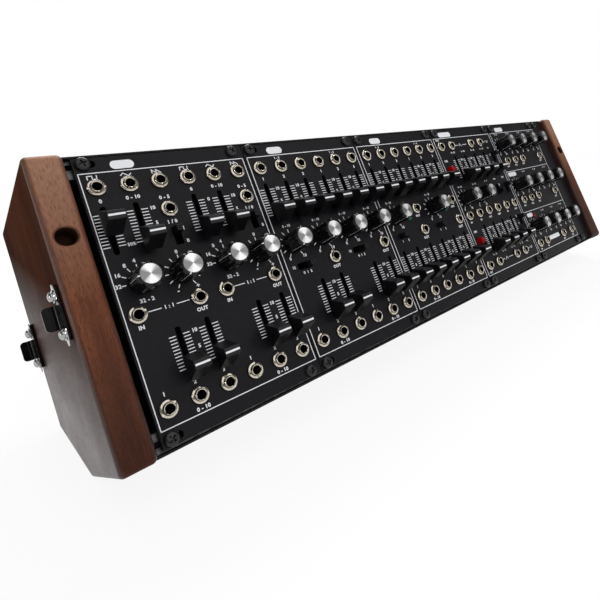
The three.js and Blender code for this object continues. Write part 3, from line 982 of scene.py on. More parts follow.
@dataclass(frozen=True)
class WalnutFinish(Finish):
    """Oiled walnut: long figure, dark flecks of open pores, a satin sheen, and painted light, shade
    and sheen in its colour.
    """

    slot: Slot = Slot.WALNUT
    name: str = "oiled_walnut"
    light: Colour = (0.205, 0.062, 0.0235)
    middle: Colour = (0.074, 0.0185, 0.0064)
    dark: Colour = (0.034, 0.0095, 0.004)
    pore: Colour = (0.022, 0.0068, 0.0035)
    # The next colour is a painted highlight: the pale colour laid on the top of the front.
    painted_sheen: Colour = (0.4, 0.22, 0.145)
    dust_colour: Colour = (0.36, 0.25, 0.18)
    # The next three values paint light and shade: lighter towards the top, and darker on the end
    # faces.
    painted_light_rise: float = 0.375
    side_painted_shade: float = 0.2
    side_painted_darkening: float = 0.62
    matt_front: float = 0.75
    matt_top: float = 0.97

    def dress(self, surface: Surface, effects: Effects) -> None:
        """Builds the wood.

        Args:
            surface: the new material's tree.
            effects: the shared node groups.
        """
        figure = self._grain(surface, effects, 48.0, 6.0, 5.0, 0.55)
        fibre = self._grain(surface, effects, 1500.0, 60.0, 3.0, 0.6)
        pores = self._grain(surface, effects, 2900.0, 380.0, 2.0, 0.5)
        height = surface.split(surface.place())["Z"]
        side = surface.math("ABSOLUTE", surface.split(surface.place("Normal"))["X"])
        # Painted light: the colour grows lighter towards the top and darker towards the foot.
        painted_rise = surface.range(height, 0.0, 0.13, -self.painted_light_rise, self.painted_light_rise)
        figure_with_painted_rise = surface.math("ADD", figure, painted_rise)
        # Painted shade: the end faces are coloured darker than the front.
        toned = surface.math("SUBTRACT", figure_with_painted_rise, surface.math("MULTIPLY", side, self.side_painted_shade))
        broad = surface.mix(surface.range(toned, 0.3, 0.68), self.dark, self.light)
        grained = surface.mix(surface.range(fibre, 0.3, 0.72, 0.0, 0.8), broad, self.middle)
        # Painted sheen: near its top, the front is coloured paler, a highlight painted into the
        # colour.
        edge = surface.math("SUBTRACT", 1.0, side, True)
        painted_sheen_mask = surface.math("MULTIPLY", surface.range(height, 0.085, 0.135, 0.0, 0.68), edge)
        with_painted_sheen = surface.mix(painted_sheen_mask, grained, self.painted_sheen)
        # More painted shade: the end faces are pulled towards the pore colour.
        face = surface.mix(surface.math("MULTIPLY", side, self.side_painted_darkening), with_painted_sheen, self.pore)
        open_pores = surface.range(pores, 0.48, 0.7, 0.0, 0.5)
        flecked = surface.mix(open_pores, face, self.pore)
        dust = surface.group(effects.dust, amount=0.05)["Mask"]
        colour = surface.mix(dust, flecked, self.dust_colour)
        smudge = surface.group(effects.smudge, scale=55.0, low=0.3, high=0.4)["Roughness"]
        rough = surface.math("ADD", smudge, surface.math("MULTIPLY", open_pores, 0.2), True)
        inputs = {"Base Color": colour, "Roughness": rough, "Specular IOR Level": 0.5}
        surface.feed(surface.shader, inputs)
        relief = surface.math("SUBTRACT", surface.math("MULTIPLY", fibre, 0.4), open_pores)
        surface.bump(relief, 0.00004, 0.4)
        matt = surface.add("ShaderNodeBsdfDiffuse", {"Color": colour})
        facing = surface.add("ShaderNodeLayerWeight").outputs["Facing"]
        share = surface.range(height, 0.02, 0.085, 0.0, self.matt_top)
        edge_on = surface.range(facing, 0.55, 0.8, 0.0, share)
        front = surface.range(side, 0.0, 1.0, self.matt_front, 0.0)
        surface.cover(surface.math("MAXIMUM", edge_on, front), matt)

    @staticmethod
    def _grain(
        surface: Surface,
        effects: Effects,
        across: float,
        along: float,
        detail: float,
        roughness: float,
    ) -> Socket:
        """Gives a noise drawn out along the grain.

        Args:
            surface: the material's tree.
            effects: the shared groups.
            across: the noise's scale across the grain.
            along: its scale along it.
            detail: how many finer layers it has.
            roughness: how strong they are.

        Returns:
            The noise's socket.
        """
        axes = surface.group(effects.panel_axes)["Place"]
        given = {"Vector": axes, "Scale": (across, along, across)}
        place = surface.add("ShaderNodeMapping", given).outputs["Vector"]
        return surface.noise(place, 1.0, detail, roughness)


@dataclass(frozen=True)
class PaintedBoreShadeFinish(Finish):
    """Painted shade for a bored hole: a dark lining of end grain with rings from the bit, standing
    for the shade inside.
    """

    slot: Slot = Slot.WALNUT
    name: str = "painted_bore_shade"
    colour: Colour = (0.05, 0.019, 0.011)
    ring: Colour = (0.02, 0.0075, 0.0045)

    def dress(self, surface: Surface, effects: Effects) -> None:
        """Builds the bored wood.

        Args:
            surface: the new material's tree.
            effects: the shared node groups.
        """
        depth = surface.split(surface.group(effects.panel_axes)["Place"])["Z"]
        rings = surface.noise(surface.vector(depth), 1800.0, 3.0, 0.6)
        colour = surface.mix(surface.range(rings, 0.35, 0.65), self.colour, self.ring)
        inputs = {"Base Color": colour, "Roughness": 0.8, "Specular IOR Level": 0.1}
        surface.feed(surface.shader, inputs)
        surface.bump(rings, 0.00005, 0.4)


@dataclass(frozen=True)
class LensFinish(Finish):
    """Tinted clear plastic with a soft depth of colour, its colour also given off as a faint glow.
    """

    colour: Colour
    deep: Colour
    # On the lamps the glow is their own light; on the button it is painted light.
    glow: float = 0.08
    specular: float = 0.3

    def dress(self, surface: Surface, effects: Effects) -> None:
        """Builds the lens.

        Args:
            surface: the new material's tree.
            effects: the shared node groups.
        """
        speckle = surface.group(effects.speckle, scale=700.0)["Value"]
        smudge = surface.group(effects.smudge, scale=200.0, low=0.1, high=0.22)["Roughness"]
        tint = surface.mix(speckle, self.colour, self.deep)
        inputs = {
            "Base Color": tint,
            "Roughness": smudge,
            "Emission Color": tint,
            "Emission Strength": self.glow,
            "Specular IOR Level": self.specular,
        }
        surface.feed(surface.shader, inputs)


@dataclass(frozen=True)
class FloorFinish:
    """A plain pale floor, white to the camera and in reflections but for its shadow."""

    name: str = "pale_floor"
    colour: Colour = (0.86, 0.86, 0.86)
    drift: float = 0.99
    near_share: float = 0.9
    near: float = 0.45
    far: float = 1.5

    def build(self) -> bpy.types.Material:
        """Makes the material.

        Returns:
            The material.
        """
        surface = Surface(self.name)
        place = surface.place()
        drift = surface.range(surface.noise(place, 3.0, 2.0), 0.3, 0.7)
        colour = surface.mix(drift, self.colour, tuple(part * self.drift for part in self.colour))
        inputs = {"Base Color": colour, "Roughness": 0.9, "Specular IOR Level": 0.1}
        surface.feed(surface.shader, inputs)
        reach = surface.add("ShaderNodeVectorMath", {0: place}, operation="LENGTH")
        share = surface.range(reach.outputs["Value"], self.near, self.far, self.near_share, 1.0)
        white = surface.add("ShaderNodeEmission", {"Strength": 1.0})
        surface.cover(surface.math("MULTIPLY", surface.seen_rays(), share), white)
        return surface.material


class Paintbox:
    """Every finish, built once."""

    def __init__(self, effects: Effects) -> None:
        """Builds the materials.

        Args:
            effects: the shared node groups.
        """
        self.walnut = WalnutFinish().paint(effects)
        # The bore's finish is painted shade for the inside of the holes.
        self.bore = PaintedBoreShadeFinish().paint(effects)
        self.turned = TurnedFinish().paint(effects)
        self.panel = CoatedFinish(
            Slot.PANEL, "charcoal_coat",
            (0.0046, 0.0038, 0.0052), (0.0072, 0.0062, 0.0084), (0.05, 0.048, 0.05), 0.36, 0.46,
            scale=2400.0, specular=0.14, wear=0.35, dust=0.01,
        ).paint(effects)
        self.case = CoatedFinish(
            Slot.CASE, "case_coat",
            (0.0062, 0.006, 0.0066), (0.0095, 0.0095, 0.01), (0.04, 0.04, 0.04), 0.45, 0.58,
            scale=1500.0, specular=0.14, wear=0.3, dust=0.03,
        ).paint(effects)
        self.catch = CoatedFinish(
            Slot.CATCH, "catch_coat",
            (0.002, 0.002, 0.0028), (0.003, 0.003, 0.0038), (0.05, 0.05, 0.05), 0.12, 0.17,
            scale=2200.0, depth=0.000002, specular=0.09, wear=0.1, dust=0.0,
        ).paint(effects)
        self.screw = CoatedFinish(
            Slot.CATCH, "black_screw",
            (0.0038, 0.0038, 0.0044), (0.007, 0.007, 0.008), (0.1, 0.1, 0.1), 0.2, 0.28,
            scale=3000.0, wear=0.5, dust=0.01,
        ).paint(effects)
        self.plastic = CoatedFinish(
            Slot.CONTROL, "moulded_black",
            (0.0034, 0.0031, 0.0042), (0.0052, 0.005, 0.0064), (0.03, 0.03, 0.032), 0.3, 0.38,
            scale=3200.0, depth=0.000008, specular=0.28, wear=0.15, dust=0.004,
        ).paint(effects)
        self.grip = CoatedFinish(
            Slot.CONTROL, "glossy_black",
            (0.003, 0.0028, 0.0036), (0.0046, 0.0044, 0.0056), (0.03, 0.03, 0.032), 0.2, 0.26,
            scale=3200.0, depth=0.000001, specular=0.3, wear=0.1, dust=0.0,
        ).paint(effects)
        self.housing = CoatedFinish(
            Slot.CONTROL, "housing_black",
            (0.004, 0.004, 0.004), (0.006, 0.006, 0.006), (0.01, 0.01, 0.01), 0.5, 0.6,
            specular=0.1, wear=0.0, dust=0.0,
        ).paint(effects)
        self.print = CoatedFinish(
            Slot.PRINT, "screen_print",
            (0.86, 0.87, 0.9), (0.8, 0.81, 0.84), (0.86, 0.87, 0.9), 0.45, 0.55,
            scale=4000.0, depth=0.000004, specular=0.2, wear=0.0, dust=0.0,
        ).paint(effects)
        self.board = CoatedFinish(
            Slot.BOARD, "solder_mask",
            (0.012, 0.085, 0.04), (0.016, 0.11, 0.052), (0.05, 0.16, 0.08), 0.3, 0.4,
            scale=900.0, wear=0.1, dust=0.0,
        ).paint(effects)
        self.rail = CoatedFinish(
            Slot.RAIL, "dark_anodised",
            (0.03, 0.03, 0.032), (0.05, 0.05, 0.052), (0.2, 0.2, 0.2), 0.3, 0.42,
            scale=1400.0, specular=0.5, wear=0.4, metallic=0.8,
        ).paint(effects)
        self.nickel = MetalFinish(
            Slot.NICKEL, "bright_nickel", (0.67, 0.62, 0.53), (0.46, 0.42, 0.35), 0.07, 0.16
        ).paint(effects)
        self.chrome = MetalFinish(
            Slot.NICKEL, "bright_screw", (0.46, 0.46, 0.465), (0.3, 0.3, 0.305), 0.05, 0.1
        ).paint(effects)
        # The button is no lamp: its glow is painted light that brightens its red.
        self.red = LensFinish(
            Slot.BUTTON, "red_lens", (0.3, 0.002, 0.006), (0.2, 0.0015, 0.004), 0.09, 0.15
        ).paint(effects)
        self.red_lamp = LensFinish(
            Slot.RED_LAMP, "red_lamp_lens", (0.3, 0.01, 0.012), (0.2, 0.006, 0.008)
        ).paint(effects)
        self.green_lamp = LensFinish(
            Slot.GREEN_LAMP, "green_lamp_lens", (0.02, 0.16, 0.09), (0.012, 0.1, 0.06)
        ).paint(effects)
        self.floor = FloorFinish().build()


# Panel layouts


@dataclass(frozen=True)
class Spot:
    """A place on a module's own panel."""

    x: float
    y: float


@dataclass(frozen=True)
class KnobSpot(Spot):
    """A knob and the angle of its pointer, in radians."""

    angle: float = 4 / 3 * math.pi


@dataclass(frozen=True)
class SwitchSpot(Spot):
    """A slide switch and how its lever stands."""

    throw: Throw = Throw.UP


@dataclass(frozen=True)
class Word:
    """A generic number or sign, its middle and its height."""

    text: str
    x: float
    y: float
    size: float = 1.68


@dataclass(frozen=True)
class Rows:
    """The heights that the panels' rows share."""

    panel: float = 128.5
    top: float = 114.0
    fine: float = 99.5
    upper: float = 94.0
    upper_switch: float = 86.2
    knob: float = 69.0
    middle_switch: float = 70.5
    high_jack: float = 71.3
    middle: float = 55.5
    lower: float = 34.5
    lower_fine: float = 40.0
    bottom: float = 14.5
    green_lamp: float = 65.6
    red_lamp: float = 38.6
    effect_top: float = 108.2
    effect_low: float = 29.6
    effect_jack: float = 93.2


ROWS = Rows()
MODULE_WIDTH = 81.28
BLANK_WIDTH = 20.32
HALF = 40.5
FIRST_COLUMN, COLUMN_PITCH = 6.6, 13.5
FIRST_KNOB_COLUMN, KNOB_PITCH = 9.9, 20.25
RANGE_KNOB, TUNE_KNOB = 12.3, 30.3
SCALE_TOP, TICK_STEP, TICK_COUNT = 7.4, 1.48, 11
BOARD_BACK, BOARD_FACE, BODY_FOOT = -13.2, -11.6, -11.3
SCREW_TURN, MODULE_TURN = 37, 61
TUNED = 0.93 * math.pi
ALL = range(6)
HALF_PILL = (20.0, 124.1, 10.2, 4.1)


@dataclass(frozen=True)
class Layout:
    """One module: its controls and its printing."""

    name: str
    jacks: tuple[Spot, ...]
    pills: tuple[tuple[float, float, float, float], ...]
    words: tuple[Word, ...]
    sliders: tuple[Spot, ...] = ()
    knobs: tuple[KnobSpot, ...] = ()
    switches: tuple[SwitchSpot, ...] = ()
    buttons: tuple[Spot, ...] = ()
    lamps: tuple[Spot, ...] = ()
    lamp_slot: Slot = Slot.GREEN_LAMP
    lamp_radius: float = 1.5
    first_rise: float = 0.0
    lines: tuple[tuple[Point, ...], ...] = ()
    stepped: tuple[int, ...] = ()
    crossbars: tuple[float, ...] = ()


def column(index: int) -> float:
    """Gives a control column's place."""
    return FIRST_COLUMN + COLUMN_PITCH * index


def knob_column(index: int) -> float:
    """Gives a knob column's place."""
    return FIRST_KNOB_COLUMN + KNOB_PITCH * index


def spots(*rows: tuple[Iterable[int], float]) -> tuple[Spot, ...]:
    """Gives spots on the control columns, row by row."""
    return tuple(Spot(column(index), y) for indices, y in rows for index in indices)


def knob_row(indices: Iterable[int], y: float = ROWS.knob) -> tuple[KnobSpot, ...]:
    """Gives a row of knobs on the knob columns."""
    return tuple(KnobSpot(knob_column(index), y) for index in indices)


def moved(line: Iterable[Point], x: float, y: float = 0.0) -> tuple[Point, ...]:
    """Gives a line moved on its panel."""
    return tuple((along + x, high + y) for along, high in line)


def both_halves(*words: Word) -> tuple[Word, ...]:
    """Repeats words on a panel's right half."""
    return words + tuple(Word(word.text, word.x + HALF, word.y, word.size) for word in words)


def scale_words(places: Iterable[float], y: float) -> list[Word]:
    """Gives the 10 and 5 beside each slider scale."""
    marks = (("10", SCALE_TOP), ("5", 0.0))
    return [Word(text, x, y + rise) for x in places for text, rise in marks]


def dial_words(knobs: Iterable[Spot]) -> list[Word]:
    """Gives the 0 and 10 under each dial."""
    ends = (("0", -4.6), ("10", 4.8))
    return [Word(text, knob.x + side, knob.y - 8.1) for knob in knobs for text, side in ends]


def same_words(text: str, places: Iterable[float], y: float, size: float = 1.4) -> list[Word]:
    """Gives one text at several places along a row."""
    return [Word(text, x, y, size) for x in places]


def row_words(given: Iterable[tuple[str, float]], y: float, size: float = 1.4) -> list[Word]:
    """Gives several texts along a row."""
    return [Word(text, x, y, size) for text, x in given]


WAVES = (
    ((-2.2, -0.8), (-2.2, 0.8), (-0.2, 0.8), (-0.2, -0.8), (1.6, -0.8), (1.6, 0.8)),
    ((-2.2, -0.3), (-1.1, 0.8), (1.1, -0.8), (2.2, 0.3)),
    ((-2.0, -0.8), (-2.0, 0.8), (0.0, -0.8), (0.0, 0.8), (2.0, -0.8)),
)
SIGNS = (
    *(moved(wave, column(index), 119.0) for index, wave in enumerate(WAVES)),
    ((11.2, ROWS.middle), (16.4, ROWS.middle)), ((23.4, ROWS.middle), (28.8, ROWS.middle)),
)
ENVELOPE_SIGNS = (
    ((25.0, 0.0), (29.2, 0.0)), ((30.9, -1.0), (32.5, 1.2), (34.1, -1.0)),
    ((36.0, 0.0), (41.6, 0.0)), ((65.6, 0.0), (69.4, 0.0)),
    ((71.0, 1.2), (72.6, -1.0), (74.2, 1.2)),
)
THREE = tuple((str(index + 1), column(index)) for index in range(3))
LOW_THREE = (("1", 6.7), ("2", 20.0), ("3", 33.5))
ENDS = (("IN", 6.6), ("IN", 19.8), ("OUT", 52.6), ("OUT", 70.65))
EFFECT_ENDS = (("IN 1", 9.9), ("IN 2", 23.5), ("IN 3", 37.1), ("OUT", 70.65))
ENVELOPE_ENDS = tuple(zip(("IN", "IN", "OUT", "OUT", "IN", "OUT"), map(column, ALL)))
EFFECT_KNOBS = tuple(
    knob for y in (ROWS.effect_top, ROWS.knob, ROWS.effect_low) for knob in knob_row(range(4), y)
)

OSCILLATOR = Layout(
    name="oscillator",
    jacks=spots(
        (ALL, ROWS.top), ((2, 5), ROWS.fine), ((0, 2, 3, 5), ROWS.middle), (ALL, ROWS.bottom)
    ),
    sliders=spots(((0, 1, 3, 4), ROWS.upper), ((1, 2, 4, 5), ROWS.lower)),
    first_rise=9.6,
    knobs=(
        KnobSpot(RANGE_KNOB, ROWS.knob, math.pi),
        KnobSpot(TUNE_KNOB, ROWS.knob),
        KnobSpot(RANGE_KNOB + HALF, ROWS.knob, math.pi),
        KnobSpot(TUNE_KNOB + HALF, ROWS.knob, TUNED),
    ),
    stepped=(0, 2),
    switches=tuple(SwitchSpot(column(index), ROWS.upper_switch) for index in (2, 5)),
    words=(
        *both_halves(
            Word("0", 6.6, 107.8), Word("0 - 10", 20.0, 107.8), Word("0 - 5", 33.4, 105.7),
            Word("1 / 0", 33.2, 93.3), Word("1", 37.3, 89.2), Word("0", 37.4, 82.8),
            Word("10", 26.7, 101.4), Word("5", 26.5, 94.0), Word("32", 2.9, 69.2),
            Word("16", 3.8, 74.0), Word("8", 7.6, 77.6), Word("4", 11.9, 78.9),
            Word("0", 30.3, 78.7), Word("-", 25.7, 60.9, 2.0), Word("+", 34.9, 60.9, 2.0),
            Word("32 - 2", 12.1, 60.8), Word("1 : 1", 19.9, 55.5),
            Word("IN", 6.6, 49.9), Word("OUT", 33.4, 49.9),
            *scale_words((26.8,), ROWS.lower),
            *row_words(LOW_THREE, 20.7, 1.68),
            Word("0 - 10", 20.1, 9.0),
        ),
        Word("50%", 13.3, 86.4, 1.4),
        Word("0", 53.9, 101.4),
    ),
    lines=SIGNS + tuple(moved(line, HALF) for line in SIGNS),
    pills=(HALF_PILL,),
)

FILTER = Layout(
    name="filter",
    jacks=spots((ALL, ROWS.top), ((2, 5), ROWS.middle), (ALL, ROWS.bottom)),
    sliders=spots((ALL, ROWS.upper), ((1, 2, 4, 5), ROWS.lower)),
    knobs=knob_row(range(4)),
    switches=tuple(SwitchSpot(x, ROWS.middle, Throw.RIGHT) for x in (12.6, 12.6 + HALF)),
    words=both_halves(
        Word("1 - 3", 19.9, 119.4, 1.3),
        *row_words(THREE, 107.9, 1.68),
        *scale_words((13.2, 26.7), ROWS.upper),
        *same_words("0 - 10", (9.9, 30.1), 79.2),
        Word("12", 5.4, 55.7, 1.4),
        Word("0  1  2", 13.0, 51.6, 1.4),
        Word("OUT", 33.1, 49.8),
        *scale_words((26.8,), ROWS.lower),
        *row_words(LOW_THREE, 20.7, 1.68),
        Word("0 - 10", 20.1, 9.0),
        *dial_words(knob_row(range(2))),
    ),
    pills=(HALF_PILL,),
)

AMPLIFIER = Layout(
    name="amplifier",
    jacks=spots(
        (ALL, ROWS.top), ((2, 5), ROWS.high_jack), ((2, 5), ROWS.middle), (ALL, ROWS.bottom)
    ),
    sliders=spots((ALL, ROWS.upper), (ALL, ROWS.lower)),
    knobs=knob_row((0, 2)),
    switches=tuple(SwitchSpot(x, ROWS.middle, Throw.LEFT) for x in (12.6, 12.6 + HALF)),
    lamps=(Spot(24.0, ROWS.green_lamp), Spot(24.0 + HALF, ROWS.green_lamp)),
    words=both_halves(
        Word("1 - 3", 19.9, 119.4, 1.3),
        *row_words(THREE, 107.9, 1.68),
        *scale_words((13.2, 26.7), ROWS.upper),
        Word("0 - 10", 9.9, 79.2, 1.4),
        Word("OUT", 33.1, 66.0, 1.4),
        *row_words((("1", 9.8), ("2", 15.6)), 51.8),
        Word("OUT", 33.1, 49.8),
        *scale_words((13.2, 26.8), ROWS.lower),
        *row_words(THREE, 20.8, 1.68),
        Word("0 - 10", 20.1, 9.0),
        *dial_words(knob_row(range(1))),
    ),
    pills=(HALF_PILL,),
)

ENVELOPE = Layout(
    name="envelope",
    jacks=spots(((0, 1, 3, 4), ROWS.top), (ALL, ROWS.middle), ((0, 1, 3, 4), ROWS.bottom)),
    sliders=spots((range(1, 5), ROWS.upper), (range(1, 5), ROWS.lower)),
    knobs=knob_row(range(2)),
    switches=(
        SwitchSpot(column(5), ROWS.fine),
        SwitchSpot(column(4), ROWS.middle_switch, Throw.DOWN),
        SwitchSpot(column(5), ROWS.middle_switch),
        SwitchSpot(column(5), ROWS.lower_fine),
    ),
    buttons=(Spot(column(0), ROWS.upper), Spot(column(0), ROWS.lower)),
    words=(
        Word("OUT", 5.8, 119.6, 1.3),
        *same_words("0 - 10", (19.3, 32.8, 46.8, 60.4), 108.2),
        Word("+/-", 70.4, 108.2, 1.4),
        Word("ON", 6.4, 101.8),
        *scale_words((26.8, 40.3, 53.8), ROWS.upper),
        Word("2", 69.4, 101.8), Word("1", 69.2, 94.2),
        *same_words("0 - 10", (9.9, 29.6), 79.4),
        *row_words((("1 - 4", 46.8), ("ON", 60.2), ("OFF", 73.9)), 79.8),
        Word("2", 64.0, 74.0), Word("1", 63.8, 67.6),
        *row_words(ENVELOPE_ENDS, 49.9),
        Word("ON", 6.4, 42.2),
        *scale_words((26.8, 40.3, 53.8), ROWS.lower),
        Word("2", 69.4, 43.8), Word("1", 69.2, 37.2),
        *same_words("0 - 10", (19.3, 32.8, 46.8, 60.4), 20.8),
        Word("+/-", 70.4, 20.8, 1.4),
        Word("OUT", 5.6, 9.1, 1.3),
        *dial_words(knob_row(range(2))),
    ),
    lines=tuple(moved(line, 0.0, y) for y in (ROWS.top, ROWS.bottom) for line in ENVELOPE_SIGNS),
    pills=((17.4, 124.1, 15.8, 4.1),),
)

EFFECTS = Layout(
    name="effects",
    jacks=(
        *(Spot(x, y) for y in (ROWS.effect_jack, ROWS.middle) for x in (9.9, 23.5, 37.1, 70.65)),
        *(Spot(x, ROWS.bottom) for _, x in ENDS),
    ),
    knobs=EFFECT_KNOBS,
    lamps=(Spot(16.5, ROWS.red_lamp),),
    lamp_slot=Slot.RED_LAMP,
    lamp_radius=1.85,
    words=(
        *dial_words(EFFECT_KNOBS),
        *same_words("0 - 10", (9.9, 29.9, 50.4, 70.4), 119.6, 1.3),
        *row_words(EFFECT_ENDS, 88.2),
        *same_words("0 - 10", (29.9, 50.4, 70.4), 80.9, 1.3),
        *row_words(EFFECT_ENDS, 50.0),
        *same_words("0 - 10", (33.8, 52.0, 70.4), 41.3, 1.3),
        *row_words(ENDS, 9.1, 1.3),
    ),
    crossbars=(83.2, 44.0),
    pills=(
        (18.1, 124.1, 13.4, 4.1), (9.9, 80.4, 13.4, 3.9),
        (9.9, 40.5, 9.4, 3.7), (35.9, 14.9, 19.6, 3.8),
    ),
)

LAYOUTS = (OSCILLATOR, FILTER, AMPLIFIER, ENVELOPE, EFFECTS)


# Controls


@dataclass(frozen=True)
class Jack:
    """A socket on the panel: slotted ring nut, plain barrel and dark bore."""

    nut_radius: float = 3.8
    nut_height: float = 1.45
    nut_ease: float = 0.35
    nut_fall: float = 0.18
    notch_depth: float = 0.5
    notch_half: float = 0.45
    notch_edge: float = 0.004
    barrel_radius: float = 2.66
    barrel_height: float = 2.6
    bore: float = 1.95
    gap: float = 0.1
    sides: int = 48
    depth: float = 8.5

    def add_metal(self, work: MeshWork, place: Matrix) -> None:
        """Adds the nut and the barrel.

        Args:
            work: where the mesh is gathered.
            place: where it goes.
        """
        inner = self.barrel_radius + self.gap
        shoulder = self.nut_height - self.nut_fall - self.nut_ease
        edge = arc(self.nut_radius - self.nut_ease, shoulder, self.nut_ease, 0.0, 0.36 * math.pi, 4)
        nut = [
            (inner, 0.02), (self.nut_radius - 0.12, 0.02), (self.nut_radius, 0.14), *edge,
            (inner + 0.12, self.nut_height), (inner, self.nut_height - 0.12),
        ]
        self._add_nut(work, nut, place)
        top = self.barrel_height
        barrel = [
            (self.bore + 0.15, -1.2), (self.barrel_radius, -1.2), (self.barrel_radius, top - 0.55),
            (self.barrel_radius - 0.1, top - 0.25), (self.barrel_radius - 0.35, top - 0.04),
            (self.bore + 0.45, top), (self.bore + 0.12, top - 0.22), (self.bore, top - 0.6),
            (self.bore, -0.9),
        ]
        work.lathe(barrel, self.sides, place, closed=True)

    def _add_nut(self, work: MeshWork, profile: Sequence[Point], place: Matrix) -> None:
        """Adds the ring nut with its two notches, at the left and the right.

        Args:
            work: where it is gathered.
            profile: the ring's section.
            place: the jack's place.
        """
        half = self.notch_half / self.nut_radius
        clear = half + self.notch_edge
        angles: list[tuple[float, bool]] = []
        for centre in (0.0, math.pi):
            angles += [(centre - clear, False), (centre - half, True), (centre, True)]
            angles += [(centre + half, True), (centre + clear, False)]
        for index in range(self.sides):
            angle = FULL_TURN / self.sides * (index + 0.5)
            if abs(math.remainder(angle, math.pi)) > clear:
                angles.append((angle, False))
        angles.sort(key=lambda item: item[0] % FULL_TURN)
        floor = self.nut_height - self.notch_depth
        loops = []
        for angle, low in angles:
            x, y, roof = math.cos(angle), math.sin(angle), floor if low else self.nut_height
            section = [(out * x, out * y, min(up, roof)) for out, up in profile]
            loops.append([work.corner(place, *spot) for spot in section])
        for lower, upper in zip(loops, [*loops[1:], loops[0]]):
            work.join(lower, upper)

    def add_sleeve(self, work: MeshWork, place: Matrix) -> None:
        """Adds the dark plastic sleeve behind the barrel.

        Args:
            work: where the mesh is gathered.
            place: where it goes.
        """
        floor = 1 - self.depth
        sleeve = [
            (0, -self.depth), (self.barrel_radius, -self.depth), (self.barrel_radius, -1.25),
            (self.bore - 0.02, -1.25), (self.bore - 0.02, -0.3), (self.bore - 0.12, -0.3),
            (self.bore - 0.12, floor), (0, floor),
        ]
        work.lathe(sleeve, 32, place)

    def hole(self, spot: Spot) -> list[Point]:
        """Gives the hole in the panel."""
        return ring(spot.x, spot.y, self.barrel_radius + self.gap, 24)


@dataclass(frozen=True)
class PanelScrew:
    """A black pan head with a cross recess, and its hole in the panel."""

    radius: float = 3.1
    height: float = 2.0
    recess_half: float = 1.7
    recess_slim: float = 0.425
    recess_depth: float = 1.1
    recess_low: float = 0.62
    recess_high: float = 1.15
    slot_length: float = 7.2
    slot_width: float = 3.4
    slot_shift: float = 1.5
    sides: int = 40

    def head(self) -> bpy.types.Mesh:
        """Makes the head, its axis upright and in millimetres.

        Returns:
            The head's mesh.
        """
        plain = Matrix.Identity(4)
        radius, height, arm, half = self.radius, self.height, self.recess_half, self.recess_slim
        rim, bend = (radius, height * 0.42), (radius * 0.96, height * 0.96)
        crown = curve_between(rim, bend, (radius * 0.45, height * 0.99), 7)
        body, tool = MeshWork(), MeshWork()
        foot = [(0, -0.1), (radius * 0.97, -0.1), (radius, 0.1)]
        body.lathe([*foot, *crown, (0, height)], self.sides, plain)
        corner = [(arm, -half), (arm, half), (half, half)]
        cross = []
        for _ in range(4):
            cross += corner
            corner = [(-y, x) for x, y in corner]
        ends = ((self.recess_low, height - self.recess_depth), (self.recess_high, height + 0.5))
        loops = [[tool.corner(plain, x * part, y * part, z) for x, y in cross] for part, z in ends]
        tool.join(*loops)
        for loop in loops:
            tool.mesh.faces.new(loop)
        return body.cut(tool, "screw_head")

    def hole(self, spot: Spot, slotted: bool) -> list[Point]:
        """Gives the hole in the panel: a slot under the left screws.

        Args:
            spot: the screw's place.
            slotted: whether the hole is a slot.

        Returns:
            The outline.
        """
        end = self.slot_width / 2
        if slotted:
            x = spot.x + self.slot_shift
            return rounded(x, spot.y, self.slot_length, self.slot_width, end, 6)
        return ring(spot.x, spot.y, end, 20)


@dataclass(frozen=True)
class Slider:
    """A slide potentiometer: a sloped cap with a white line, on a stem in a slot."""

    travel: float = 15.0
    slot_length: float = 22.4
    slot_width: float = 2.3
    width: float = 7.2
    foot_half: float = 5.7
    top_half: float = 2.05
    foot: float = 4.4
    top: float = 15.3
    ease: float = 0.4
    line_width: float = 0.9
    line_inset: float = 0.3
    stem: tuple[float, float] = (1.5, 4.0)
    stem_foot: float = -6.0

    def profile(self) -> list[Point]:
        """Gives the cap's outline seen from its side, anticlockwise.

        Returns:
            The outline's points.
        """
        slope = curve_between(
            (self.foot_half, self.foot + 0.5),
            ((self.foot_half + self.top_half) / 2 - 0.25, (self.foot + self.top) / 2 - 0.2),
            (self.top_half, self.top - 0.55),
            7,
        )
        right = [
            (self.foot_half - 0.35, self.foot), (self.foot_half - 0.08, self.foot + 0.12), *slope,
            (self.top_half - 0.1, self.top - 0.25), (self.top_half - 0.35, self.top - 0.09),
            (self.top_half / 2, self.top - 0.02),
        ]
        return right + [(-along, out) for along, out in reversed(right)]

    def add_cap(self, work: MeshWork, place: Matrix) -> None:
        """Adds the cap and its stem.

        Args:
            work: where the mesh is gathered.
            place: where it goes.
        """
        half = self.width / 2
        work.prism(self.profile(), eased(-half, half, self.ease, 4), place @ SECTION)
        stem = rounded(0, 0, *self.stem, 0.3, 2)
        work.prism(stem, straight(self.stem_foot, self.foot + 0.4), place)

    def add_line(self, work: MeshWork, place: Matrix) -> None:
        """Adds the white line along the cap's ridge.

        Args:
            work: where the mesh is gathered.
            place: where it goes.
        """
        half = self.width / 2 - self.line_inset
        shape = rounded(0, self.top - 0.12, self.line_width, 0.3, 0.06, 2)
        work.prism(shape, eased(-half, half, 0.06, 1), place @ SECTION)

    def hole(self, spot: Spot) -> list[Point]:
        """Gives the slot in the panel."""
        end = self.slot_width / 2 - 0.01
        return rounded(spot.x, spot.y, self.slot_width, self.slot_length, end, 6)

    def add_body(self, work: MeshWork, place: Matrix) -> None:
        """Adds the part behind the panel, with the channel the stem runs in.

        Args:
            work: where the mesh is gathered.
            place: where it goes.
        """
        shell = rounded(0, 0, 8.0, 28.0, 0.6, 2)
        channel = rounded(0, 0, 2.6, 23.4, 1.2, 4)
        work.prism(shell, straight(-8.6, -2.4), place, [channel])
        work.prism(shell, straight(BODY_FOOT, -8.65), place)


